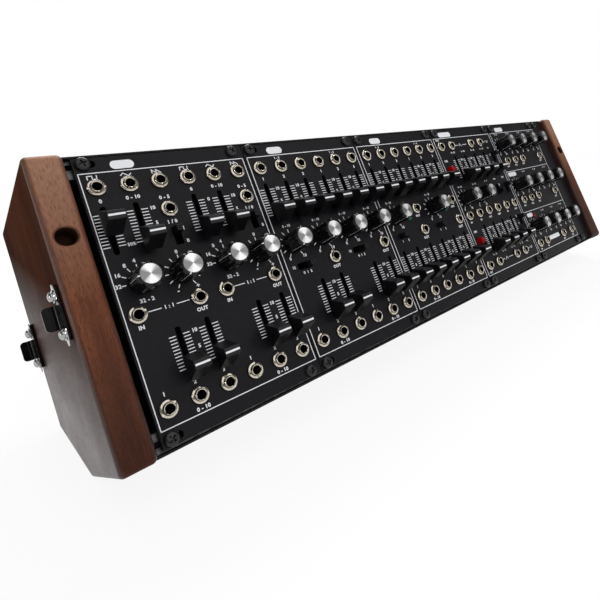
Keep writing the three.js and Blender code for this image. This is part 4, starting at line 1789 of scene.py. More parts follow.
@dataclass(frozen=True)
class Knob:
    """A lobed knob with a white pointer in one flute and a turned aluminium cap."""

    crest: float = 5.9
    trough: float = 5.2
    lobes: int = 8
    foot: float = 1.0
    shoulder: float = 12.95
    top: float = 13.95
    rim: float = 4.72
    cap_radius: float = 4.35
    cap_rise: float = 0.12
    seat: float = 0.4
    shaft: float = 2.4
    hole_radius: float = 3.0
    sides: int = 128
    line_half: float = 0.07
    dot_half: float = 0.3

    def _reach(self, angle: float) -> float:
        """Gives the side's radius at an angle from the pointer."""
        dip = (0.5 + 0.5 * math.cos(self.lobes * angle)) ** 1.6
        return self.crest - (self.crest - self.trough) * dip

    def add_body(self, work: MeshWork, place: Matrix) -> None:
        """Adds the lobed body and the shaft.

        Args:
            work: where the mesh is gathered.
            place: where it goes.
        """
        side = [
            (0, self.foot), (self.trough - 0.3, self.foot), (self.crest - 0.25, self.foot),
            (self.crest, self.foot + 0.3), (self.crest, self.shoulder - 0.1),
            (self.crest - 0.06, self.shoulder + 0.08), (self.crest - 0.2, self.shoulder + 0.2),
        ]
        rim = [
            (self.rim + 0.14, self.top - 0.12), (self.rim + 0.02, self.top - 0.03),
            (self.rim - 0.08, self.top), (self.cap_radius + 0.1, self.top),
            (self.cap_radius + 0.04, self.top - 0.08),
            (self.cap_radius + 0.04, self.top - self.seat), (0, self.top - self.seat),
        ]
        work.lathe(side + rim, self.sides, place, self._reach)
        work.lathe([(0, -4.0), (self.shaft, -4.0), (self.shaft, 1.1), (0, 1.1)], 24, place)

    def add_pointer(self, work: MeshWork, place: Matrix) -> None:
        """Adds the white line up one flute and the mark over the rim.

        Args:
            work: where the mesh is gathered.
            place: where it goes.
        """
        face, side, half = self.trough + 0.06, self.line_half, self.dot_half
        line = [(face - 0.3, -side), (face, -side), (face, side), (face - 0.3, side)]
        work.prism(line, straight(self.foot + 0.6, self.shoulder + 0.3), place)
        inner, low = self.cap_radius + 0.12, self.shoulder + 0.1
        mark = [
            (inner, low), (face, low), (face, self.top - 0.32),
            (self.rim - 0.04, self.top + 0.04), (inner, self.top + 0.04), (inner, self.top - 0.2),
        ]
        work.prism(mark, eased(-half, half, 0.06, 1), place @ ACROSS)

    def add_cap(self, work: MeshWork, place: Matrix) -> None:
        """Adds the turned cap, in rings that its finish can follow.

        Args:
            work: where the mesh is gathered.
            place: where it goes.
        """
        low, top, radius = self.top - self.seat, self.top + self.cap_rise, self.cap_radius
        edge = [(0, low), (radius, low), (radius, top - 0.12), (radius - 0.12, top)]
        rings = [(reach, top) for reach in (3.4, 2.3, 1.2, 0.25, 0)]
        work.lathe(edge + rings, 72, place)

    def hole(self, spot: Spot) -> list[Point]:
        """Gives the shaft's hole in the panel."""
        return ring(spot.x, spot.y, self.hole_radius, 24)

    def add_can(self, work: MeshWork, place: Matrix) -> None:
        """Adds the potentiometer behind the panel."""
        outline = rounded(0, 0, 9.6, 11.0, 0.8, 3)
        work.prism(outline, eased(BODY_FOOT, -4.2, 0.3, 1), place)


@dataclass(frozen=True)
class SlideSwitch:
    """A slide switch: a ridged lever in a slot."""

    slot_length: float = 9.0
    slot_width: float = 3.6
    lever_length: float = 3.9
    lever_width: float = 2.9
    height: float = 5.2
    travel: float = 4.4
    ridges: int = 3

    def add_lever(self, work: MeshWork, place: Matrix, throw: Throw) -> None:
        """Adds the lever.

        Args:
            work: where it is gathered.
            place: the slot's place.
            throw: how it lies and where the lever stands.
        """
        half, height = self.lever_length / 2, self.height
        tip = half * 0.8
        pitch = 2 * tip / self.ridges
        outline = [(half, -4.0), (half, height * 0.55)]
        for index in range(self.ridges):
            start = tip - index * pitch
            outline += [(start, height), (start - pitch * 0.55, height)]
            outline.append((start - pitch * 0.78, height - 0.4))
        outline += [(-tip, height - 0.1), (-half, height * 0.55), (-half, -4.0)]
        shift, wide = throw.side * self.travel / 2, self.lever_width / 2
        lever = moved(outline, shift)
        work.prism(lever, eased(-wide, wide, 0.15, 1), place @ throw.turn @ SECTION)

    def hole(self, spot: SwitchSpot) -> list[Point]:
        """Gives the slot in the panel.

        Args:
            spot: the switch's place.

        Returns:
            The slot's outline.
        """
        sizes = (self.slot_width, self.slot_length)
        width, length = sizes if spot.throw.upright else sizes[::-1]
        return rounded(spot.x, spot.y, width, length, 0.35, 3)

    def add_body(self, work: MeshWork, place: Matrix) -> None:
        """Adds the part behind the panel, hollow under the lever.

        Args:
            work: where the mesh is gathered.
            place: where it goes.
        """
        shell = rounded(0, 0, 6.0, 12.0, 0.4, 2)
        room = rounded(0, 0, 3.4, 8.8, 0.2, 2)
        work.prism(shell, straight(-6.0, -2.4), place, [room])
        work.prism(shell, straight(BODY_FOOT, -6.05), place)


@dataclass(frozen=True)
class PushButton:
    """A round red button that stands in its hole."""

    radius: float = 2.5
    height: float = 4.8
    depth: float = 1.5
    dome: float = 1.5
    clearance: float = 0.4

    def add(self, work: MeshWork, place: Matrix) -> None:
        """Adds the button.

        Args:
            work: where the mesh is gathered.
            place: where it goes.
        """
        side, edge = self.radius, self.height - self.dome
        crown = curve_between((side, edge), (side - 0.05, self.height), (0, self.height), 10)
        work.lathe([(0, -self.depth), (side, -self.depth), *crown], 40, place)

    def hole(self, spot: Spot) -> list[Point]:
        """Gives the hole in the panel."""
        return ring(spot.x, spot.y, self.radius + self.clearance, 28)


@dataclass(frozen=True)
class Lamp:
    """A small domed lamp."""

    radius: float
    height: float = 1.5
    depth: float = 2.0
    clearance: float = 0.08

    def add(self, work: MeshWork, place: Matrix) -> None:
        """Adds the dome."""
        foot = [(0, -self.depth), (self.radius, -self.depth)]
        work.lathe([*foot, *dome(self.radius, 0.0, self.height)], 28, place)

    def hole(self, spot: Spot) -> list[Point]:
        """Gives the hole in the panel."""
        return ring(spot.x, spot.y, self.radius + self.clearance, 24)


# Printing


@cache
def written(text: str) -> bpy.types.Mesh:
    """Gives a text's mesh, centred, one unit high and one unit thick.

    Args:
        text: the characters.

    Returns:
        The text's mesh.
    """
    curve = bpy.data.curves.new("word", "FONT")
    curve.body = text
    curve.size = 1.0
    curve.extrude = 0.5
    curve.offset = 0.04
    curve.resolution_u = 2
    curve.space_character = 1.06
    curve.align_x = "CENTER"
    made = evaluated_mesh(placed_object("word", curve))
    heights = [vertex.co.y for vertex in made.vertices]
    middle = 0.35 if text in "+-" else (min(heights) + max(heights)) / 2
    capital = 0.7
    for vertex in made.vertices:
        vertex.co.x /= capital
        vertex.co.y = (vertex.co.y - middle) / capital
    return made


@dataclass(frozen=True)
class Legend:
    """White printing on one module: strokes, pills and generic numbers."""

    work: MeshWork
    space: PanelSpace
    offset: float
    low: float = -0.02
    high: float = 0.035
    line: float = 0.42
    fine: float = 0.4
    tick: float = 0.46
    side: float = 1.35
    foot: float = 7.05
    head: float = 121.1

    def word(self, word: Word) -> None:
        """Prints a word.

        Args:
            word: what is printed, and where.
        """
        thick, middle = self.high - self.low, (self.high + self.low) / 2
        place = self.space.at(word.x + self.offset, word.y, middle)
        size = Matrix.Diagonal((word.size, word.size, thick, 1))
        self.work.stamp(written(word.text), place @ size)

    def path(self, points: Sequence[Point], width: float | None = None) -> None:
        """Prints a line through points.

        Args:
            points: the line's corners.
            width: the line's width, or none for the usual one.
        """
        wide = width or self.line
        place, levels = self.space.at(self.offset), straight(self.low, self.high)
        for start, stop in zip(points, points[1:]):
            along = Vector((stop[0] - start[0], stop[1] - start[1])).normalized() * wide / 2
            first = (start[0] - along.x, start[1] - along.y)
            last = (stop[0] + along.x, stop[1] + along.y)
            self.work.stroke(first, last, wide, levels, place)

    def slider_scale(self, spot: Spot) -> None:
        """Prints the ticks on both sides of a slider.

        Args:
            spot: the slider's place.
        """
        for index in range(TICK_COUNT):
            y = spot.y + SCALE_TOP - index * TICK_STEP
            for near, far in ((-4.5, -2.0), (1.7, 4.3)):
                self.path([(spot.x + near, y), (spot.x + far, y)], self.fine)

    def dial(self, spot: Spot, stepped: bool) -> None:
        """Prints the ticks round a knob.

        Args:
            spot: the knob's place.
            stepped: whether it is a stepped dial.
        """
        first, count = (180, 6) if stepped else (240, TICK_COUNT)
        for index in range(count):
            turn = math.radians(first - 30 * index)
            x, y = math.cos(turn), math.sin(turn)
            self.path([(spot.x + arm * x, spot.y + arm * y) for arm in (6.5, 7.9)], self.tick)

    def frame(self) -> None:
        """Prints the line round a module's controls."""
        left, right = self.side, MODULE_WIDTH - self.side
        low, high = self.foot, self.head
        self.path([(left, low), (right, low), (right, high), (left, high), (left, low)])

    def crossbar(self, y: float) -> None:
        """Prints a line across a module."""
        self.path([(self.side, y), (MODULE_WIDTH - self.side, y)], self.fine)

    def pill(self, shape: tuple[float, float, float, float]) -> None:
        """Prints a filled pill, given its middle, width and height.

        Args:
            shape: its middle, width and height.
        """
        x, y, width, height = shape
        outline = rounded(x, y, width, height, height / 2 - 0.01, 8)
        self.work.prism(outline, straight(self.low, self.high), self.space.at(self.offset))


# Sub-assemblies


class Bench:
    """What every sub-assembly is built with."""

    def __init__(self, space: PanelSpace, paints: Paintbox) -> None:
        """Starts with no piece made.

        Args:
            space: the panels' coordinates.
            paints: the object's materials.
        """
        self.space = space
        self.paints = paints
        self.screw = PanelScrew()
        self.head = self.screw.head()
        self.made = 0

    def piece(
        self,
        work: MeshWork | bpy.types.Mesh,
        name: str,
        paint: Paint,
        body: str = CASE_BODY,
        nodes: Sequence[str] = (),
    ) -> None:
        """Makes one named piece that rides on a body.

        Args:
            work: its solids, or its finished mesh, in the row frame.
            name: its name.
            paint: its finish.
            body: the body it rides on.
            nodes: frame nodes that it stands for.
        """
        mesh = work.take(name) if isinstance(work, MeshWork) else work
        mesh.materials.clear()
        mesh.materials.append(paint.material)
        made = placed_object(name, mesh)
        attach(made, body)
        if nodes:
            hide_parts(*nodes)
        self.made += 1
        log.info("%s on %s, %d faces", name, body, len(mesh.polygons))


@dataclass(frozen=True)
class PanelPlate:
    """A panel's plate and the screws that hold it."""

    bench: Bench
    name: str
    offset: float
    width: float
    screws: tuple[tuple[float, bool], ...]
    gap: float = 0.19
    thickness: float = 2.0
    end_inset: float = 3.0

    def _screw_spots(self) -> list[tuple[Spot, bool]]:
        """Gives each screw's place and whether its hole is a slot."""
        ends = (self.end_inset, ROWS.panel - self.end_inset)
        return [(Spot(x, y), slotted) for y in ends for x, slotted in self.screws]

    def add_plate(self, node: str, holes: Sequence[Sequence[Point]] = ()) -> None:
        """Builds the plate with every hole through it.

        Args:
            node: the frame's node.
            holes: the outlines of the controls' holes.
        """
        width = self.width - 2 * self.gap
        outline = rounded(self.width / 2, ROWS.panel / 2, width, ROWS.panel, 0.4, 3)
        fixings = [self.bench.screw.hole(spot, slotted) for spot, slotted in self._screw_spots()]
        work, place = MeshWork(), self.bench.space.at(self.offset)
        work.prism(outline, eased(-self.thickness, 0, 0.16), place, [*holes, *fixings])
        self.bench.piece(work, f"{self.name}_plate", self.bench.paints.panel, nodes=[node])

    def add_screws(self, turn: Callable[[int], float]) -> None:
        """Sets the screws.

        Args:
            turn: gives a screw's own turn from its number.
        """
        work = MeshWork()
        for number, (spot, _) in enumerate(self._screw_spots()):
            place = self.bench.space.at(spot.x + self.offset, spot.y, 0.05, turn(number))
            work.stamp(self.bench.head, place)
        self.bench.piece(work, f"{self.name}_screws", self.bench.paints.screw)


@dataclass(frozen=True)
class Module:
    """One module: plate, printing, jacks, screws and controls."""

    layout: Layout
    index: int
    bench: Bench
    left_inset: float = 4.18
    right_inset: float = 6.44
    board_inset: float = 3.0
    board_end: float = 12.0
    jack_turn: float = 137.5
    jack: Jack = Jack()
    slider: Slider = Slider()
    knob: Knob = Knob()
    switch: SlideSwitch = SlideSwitch()
    button: PushButton = PushButton()

    @property
    def lamp(self) -> Lamp:
        """The module's lamp."""
        return Lamp(self.layout.lamp_radius)

    def build(self) -> None:
        """Builds the whole module."""
        screws = ((self.left_inset, True), (MODULE_WIDTH - self.right_inset, False))
        offset = self.index * MODULE_WIDTH
        plate = PanelPlate(self.bench, self.layout.name, offset, MODULE_WIDTH, screws)
        plate.add_plate(self._name("faceplate"), self._holes())
        self._print(offset)
        self._jacks()
        first = SCREW_TURN + MODULE_TURN * self.index
        plate.add_screws(lambda number: math.radians(SCREW_TURN * number + first))
        self._controls()
        self._lamps()
        self._board()

    def _name(self, part: str) -> str:
        """Gives a piece's name."""
        return f"{self.layout.name}_{part}"

    def _at(self, spot: Spot, y: float | None = None, turn: float = 0.0) -> Matrix:
        """Gives the matrix of a control's place, at its own height unless one is given."""
        height = spot.y if y is None else y
        return self.bench.space.at(spot.x + self.index * MODULE_WIDTH, height, 0.0, turn)

    def _piece(
        self, work: MeshWork, part: str, paint: Paint, body: str = CASE_BODY, own: bool = False
    ) -> None:
        """Makes one of the module's pieces, which may stand for its body's own node."""
        nodes = (body,) if own and body != CASE_BODY else ()
        self.bench.piece(work, self._name(part), paint, body, nodes)

    def _holes(self) -> list[list[Point]]:
        """Gives every control's hole in the plate.

        Returns:
            The outlines.
        """
        layout = self.layout
        kinds = (
            (self.jack, layout.jacks), (self.slider, layout.sliders), (self.knob, layout.knobs),
            (self.switch, layout.switches), (self.button, layout.buttons),
            (self.lamp, layout.lamps),
        )
        return [control.hole(spot) for control, places in kinds for spot in places]

    def _print(self, offset: float) -> None:
        """Prints the module's legend.

        Args:
            offset: the module's left edge.
        """
        layout, work = self.layout, MeshWork()
        legend = Legend(work, self.bench.space, offset)
        legend.frame()
        for shape in layout.pills:
            legend.pill(shape)
        for y in layout.crossbars:
            legend.crossbar(y)
        for spot in layout.sliders:
            legend.slider_scale(spot)
        for index, spot in enumerate(layout.knobs):
            legend.dial(spot, index in layout.stepped)
        for line in layout.lines:
            legend.path(line)
        for word in layout.words:
            legend.word(word)
        self._piece(work, "print", self.bench.paints.print)

    def _jacks(self) -> None:
        """Builds the jacks' metal and their dark sleeves."""
        metal, sleeves = MeshWork(), MeshWork()
        for number, spot in enumerate(self.layout.jacks):
            place = self._at(spot, turn=math.radians(self.jack_turn * number))
            self.jack.add_metal(metal, place)
            self.jack.add_sleeve(sleeves, place)
        self._piece(metal, "jacks", self.bench.paints.nickel)
        self._piece(sleeves, "jack_sleeves", self.bench.paints.housing)

    def _parted(self, kind: str, count: int) -> tuple[list[int], list[int]]:
        """Parts the controls of one kind.

        Args:
            kind: the kind's word in the nodes' names.
            count: how many there are.

        Returns:
            Those that are part of the faceplate's node, and those with a node of their own.
        """
        nodes = frame["nodes"]
        own = [index for index in range(count) if self._name(f"{kind}_{index + 1}") in nodes]
        return [index for index in range(count) if index not in own], own

    def _controls(self) -> None:
        """Builds every control, first those that are part of the faceplate's node."""
        layout = self.layout
        still_sliders, sliders = self._parted("slider", len(layout.sliders))
        still_knobs, knobs = self._parted("knob", len(layout.knobs))
        still_switches, switches = self._parted("switch", len(layout.switches))
        if still_sliders:
            self._sliders(still_sliders, "slider_caps", "slider_lines", CASE_BODY)
        for number, index in enumerate(still_knobs, 1):
            self._knob(layout.knobs[index], f"fixed_knob_{number}", CASE_BODY)
        for number, index in enumerate(still_switches, 1):
            self._lever(layout.switches[index], f"fixed_switch_{number}", CASE_BODY)
        for index in sliders:
            part = f"slider_{index + 1}"
            self._sliders([index], f"{part}_cap", f"{part}_line", self._name(part))
        for index in knobs:
            part = f"knob_{index + 1}"
            self._knob(layout.knobs[index], part, self._name(part))
        for index in switches:
            part = f"switch_{index + 1}"
            self._lever(layout.switches[index], part, self._name(part))
        for number, spot in enumerate(layout.buttons, 1):
            work, part = MeshWork(), f"button_{number}"
            self.button.add(work, self._at(spot))
            self._piece(work, f"{part}_lens", self.bench.paints.red, self._name(part), own=True)

    def _sliders(self, indices: Sequence[int], cap: str, line: str, body: str) -> None:
        """Builds the caps of some sliders and the lines on them.

        Args:
            indices: which sliders.
            cap: the caps' name on this module.
            line: the lines' name.
            body: what they ride on.
        """
        caps, lines = MeshWork(), MeshWork()
        for index in indices:
            spot = self.layout.sliders[index]
            rise = 0.0 if index else self.layout.first_rise
            place = self._at(spot, spot.y - self.slider.travel / 2 + rise)
            self.slider.add_cap(caps, place)
            self.slider.add_line(lines, place)
        self._piece(caps, cap, self.bench.paints.plastic, body, own=True)
        self._piece(lines, line, self.bench.paints.print, body)

    def _knob(self, spot: KnobSpot, part: str, body: str) -> None:
        """Builds one knob of three pieces.

        Args:
            spot: its place and pointer.
            part: its name on this module.
            body: what it rides on.
        """
        space, paints = self.bench.space, self.bench.paints
        place = self._at(spot, turn=spot.angle)
        grip, pointer, cap = MeshWork(), MeshWork(), MeshWork()
        self.knob.add_body(grip, place)
        self.knob.add_pointer(pointer, place)
        self.knob.add_cap(cap, place)
        cap.map_polar(place.translation, space.out, space.right)
        self._piece(grip, f"{part}_grip", paints.grip, body, own=True)
        self._piece(pointer, f"{part}_pointer", paints.print, body)
        self._piece(cap, f"{part}_cap", paints.turned, body)

    def _lever(self, spot: SwitchSpot, part: str, body: str) -> None:
        """Builds one switch lever.

        Args:
            spot: its place and throw.
            part: its name on this module.
            body: what it rides on.
        """
        work = MeshWork()
        self.switch.add_lever(work, self._at(spot), spot.throw)
        self._piece(work, f"{part}_lever", self.bench.paints.plastic, body, own=True)

    def _lamps(self) -> None:
        """Builds the signal lamps."""
        if not self.layout.lamps:
            return
        work, paints = MeshWork(), self.bench.paints
        for spot in self.layout.lamps:
            self.lamp.add(work, self._at(spot))
        green = self.layout.lamp_slot is Slot.GREEN_LAMP
        self._piece(work, "lamps", paints.green_lamp if green else paints.red_lamp)

    def _board(self) -> None:
        """Builds the circuit board and the parts of the controls behind the panel."""
        board, housings, paints = MeshWork(), MeshWork(), self.bench.paints
        width, height = MODULE_WIDTH - 2 * self.board_inset, ROWS.panel - 2 * self.board_end
        outline = rounded(MODULE_WIDTH / 2, ROWS.panel / 2, width, height, 1.0, 3)
        place = self.bench.space.at(self.index * MODULE_WIDTH)
        board.prism(outline, eased(BOARD_BACK, BOARD_FACE, 0.1, 1), place)
        self.bench.piece(board, self._name("circuit"), paints.board, nodes=[self._name("board")])
        for spot in self.layout.sliders:
            self.slider.add_body(housings, self._at(spot))
        for spot in self.layout.switches:
            self.switch.add_body(housings, self._at(spot) @ spot.throw.turn)
        for spot in self.layout.knobs:
            self.knob.add_can(housings, self._at(spot))
        self._piece(housings, "housings", paints.housing)


@dataclass(frozen=True)
class BlankPanel:
    """The narrow plate at the right, held by a screw at each end."""

    bench: Bench
    left_inset: float = 4.18
    turn_step: float = 0.8

    def build(self) -> None:
        """Builds the plate and its screws."""
        offset = len(LAYOUTS) * MODULE_WIDTH
        plate = PanelPlate(self.bench, "blank", offset, BLANK_WIDTH, ((self.left_inset, True),))
        plate.add_plate("blank_panel")
        plate.add_screws(lambda number: self.turn_step * number)


@dataclass(frozen=True)
class WoodEnds:
    """The two walnut ends with eased edges and a blind hole in front."""

    bench: Bench
    thickness: float = 14.4
    front: float = 5.0
    top: float = 129.8
    foot: float = -2.5
    depth: float = 90.0
    bevel: float = 46.8
    ease: float = 2.2
    corner: float = 3.4
    back_corner: float = 2.6
    hole_radius: float = 4.0
    hole_depth: float = 10.0
    hole_height: float = 93.6
    chamfer: float = 0.9
    shade_lining: float = 0.12
    left: float = -17.6
    right: float = 427.22

    def outline(self) -> list[Point]:
        """Gives the side outline, up the panels and out of them.

        Returns:
            The outline's points.
        """
        rise = self.foot + (self.depth - self.bevel) * math.tan(LEAN)
        corners = [
            (self.top, self.front, self.corner), (self.top, -self.depth, self.corner),
            (rise, -self.depth, self.back_corner), (self.foot, -self.bevel, self.back_corner),
            (self.foot, self.front, self.corner),
        ]
        return rounded_corners(corners, 6)

    def build(self) -> None:
        """Builds both ends."""
        space, paints = self.bench.space, self.bench.paints
        for name, start in (("left_end_panel", self.left), ("right_end_panel", self.right)):
            place = space.at(start + self.thickness / 2, self.hole_height)
            wood, drill, shade_lining = MeshWork(), MeshWork(), MeshWork()
            levels = eased(start, start + self.thickness, self.ease, 6)
            wood.prism(self.outline(), levels, space.at() @ SECTION)
            drill.lathe(self._bore(), 56, place)
            # The lining is a dark sheet of painted shade inside the hole.
            shade_lining.lathe(self._shade_cup(), 56, place)
            self.bench.piece(wood.cut(drill, name), f"{name}_wood", paints.walnut, nodes=[name])
            self.bench.piece(shade_lining, f"{name}_bore", paints.bore)

    def _bore(self) -> list[Point]:
        """Gives the profile of what is drilled out.

        Returns:
            The profile's points.
        """
        radius, ease, end = self.hole_radius, self.chamfer, self.front + 2
        floor = self.front - self.hole_depth
        return [
            (0, floor), (radius - 0.6, floor), (radius, floor + 0.6),
            *arc(radius + ease, self.front - ease, ease, math.pi, 0.55 * math.pi, 5),
            (radius + ease, end), (0, end),
        ]

    def _shade_cup(self) -> list[Point]:
        """Gives the profile of the dark lining of painted shade inside a hole.

        Returns:
            The profile's points.
        """
        outer = self.hole_radius - 0.01
        inner = outer - self.shade_lining
        floor = self.front - self.hole_depth + 0.02
        rim = self.front - self.chamfer - 0.05
        return [
            (0, floor), (outer - 0.6, floor), (outer, floor + 0.6), (outer, rim),
            (inner, rim), (inner, floor + 0.7), (inner - 0.6, floor + 0.12), (0, floor + 0.12),
        ]


@dataclass(frozen=True)
class Case:
    """The folded steel case, its rails, power board, inlet and rocker."""

    bench: Bench
    left: float = -2.9
    right: float = 426.92
    top: float = 129.8
    foot: float = -2.2
    back: float = -89.7
    sheet: float = 1.0
    lift: float = 25.565
    fold: float = 1.4
    inner_fold: float = 0.4
    edge: float = 0.3
    inlet_x: float = 388.0
    rocker_x: float = 360.0
    fittings_y: float = 46.0
    pivot: float = -86.6
    tilt: float = math.pi / 22

    def build(self) -> None:
        """Builds the shell and what is set in its back."""
        paints = self.bench.paints
        self._shell()
        self._inlet()
        self._rocker()
        kept = {"top_rail": paints.rail, "bottom_rail": paints.rail, "power_board": paints.board}
        for node, paint in kept.items():
            item = frame["nodes"][node]
            item.data.materials.clear()
            item.data.materials.append(paint.material)
            log.info("%s keeps its own form", node)

    def _bevel_out(self, height: float, wall: float) -> float:
        """Gives where the rear bevel crosses a height."""
        return (wall - self.lift - height * math.cos(LEAN)) / math.sin(LEAN)

    def _bevel_height(self, out: float, wall: float) -> float:
        """Gives how high the rear bevel is at a depth."""
        return (wall - self.lift - out * math.sin(LEAN)) / math.cos(LEAN)

    def _shell(self) -> None:
        """Builds the folded sheet with soft outer folds and a turned front lip."""
        back, foot, top, sheet, edge = self.back, self.foot, self.top, self.sheet, self.edge
        corners = [
            (top, 0.0, edge), (top, back, self.fold),
            (self._bevel_height(back, 0), back, self.fold),
            (foot, self._bevel_out(foot, 0), self.fold), (foot, 0.0, edge),
            (foot + sheet, 0.0, edge),
            (foot + sheet, self._bevel_out(foot + sheet, sheet), self.inner_fold),
            (self._bevel_height(back + sheet, sheet), back + sheet, self.inner_fold),
            (top - sheet, back + sheet, self.inner_fold), (top - sheet, 0.0, edge),
        ]
        space, work, drill = self.bench.space, MeshWork(), MeshWork()
        sheet_levels = straight(self.left, self.right)
        work.prism(rounded_corners(corners, 4), sheet_levels, space.at() @ SECTION)
        low, high = back - 2, back + 3
        opening = rounded(0, 0, 13.6, 20.6, 0.5, 3)
        drill.prism(opening, straight(low, high), space.at(self.rocker_x, self.fittings_y))
        bore = [(0, low), (5.9, low), (5.9, high), (0, high)]
        drill.lathe(bore, 40, space.at(self.inlet_x, self.fittings_y))
        mesh = work.cut(drill, "case_sheet")
        self.bench.piece(mesh, "case_sheet", self.bench.paints.case, nodes=["case_shell"])

    def _inlet(self) -> None:
        """Builds the round power inlet with its pin."""
        place, paints = self.bench.space.at(self.inlet_x, self.fittings_y), self.bench.paints
        outside = self.back - 0.3
        end = outside - 2.0
        barrel = [
            (3.0, end + 0.3), (3.3, end), (6.9, end), (7.4, end + 0.5), (7.4, outside),
            (5.6, outside), (5.6, outside + 12.0), (0, outside + 12.0), (0, outside + 6.0),
            (3.0, outside + 6.0),
        ]
        tip, root = end + 0.6, outside + 6.2
        pin = [(0, tip), (0.7, tip), (1.0, end + 0.9), (1.0, root), (0, root)]
        body, contact = MeshWork(), MeshWork()
        body.lathe(barrel, 48, place, closed=True)
        contact.lathe(pin, 24, place)
        self.bench.piece(body, "inlet_barrel", paints.plastic, nodes=["power_inlet"])
        self.bench.piece(contact, "inlet_pin", paints.nickel)

    def _rocker(self) -> None:
        """Builds the rocker, its housing and the marks on it."""
        space, paints, node = self.bench.space, self.bench.paints, "power_rocker"
        place = space.at(self.rocker_x, self.fittings_y)
        inner = rounded(0, 0, 13.0, 20.0, 0.6, 3)
        outer = rounded(0, 0, 16.6, 23.6, 1.4, 4)
        wall = rounded(0, 0, 13.5, 20.5, 0.5, 3)
        housing, paddle, marks = MeshWork(), MeshWork(), MeshWork()
        housing.prism(outer, eased(-91.1, self.back - 0.02, 0.35), place, [inner])
        housing.prism(wall, straight(self.back, -76.5), place, [inner])
        housing.prism(wall, straight(-76.45, -75.4), place)
        self.bench.piece(housing, "rocker_housing", paints.plastic)
        half, crown = 9.5, 5.2
        dip = curve_between((0.4 - half, -crown), (0, 2.6 - crown), (half - 0.4, -crown), 12)
        belly = arc(0, 0, half, 0.0, math.pi, 20)
        outline = [*belly, (-half, 0.4 - crown), *dip, (half, 0.4 - crown)]
        pivot = space.at(self.rocker_x, self.fittings_y, self.pivot)
        tilted = pivot @ Matrix.Rotation(self.tilt, 4, "X")
        paddle.prism(outline, eased(-6.0, 6.0, 0.35), tilted @ SECTION)
        self.bench.piece(paddle, "rocker_paddle", paints.plastic, node, [node])
        marks.stroke((0, 3.6), (0, 6.4), 0.6, straight(-4.75, -4.2), tilted)
        circle, hole = ring(0, -5.2, 1.5, 24), ring(0, -5.2, 1.0, 24)
        marks.prism(circle, straight(-4.72, -4.0), tilted, [hole])
        self.bench.piece(marks, "rocker_marks", paints.print, node)


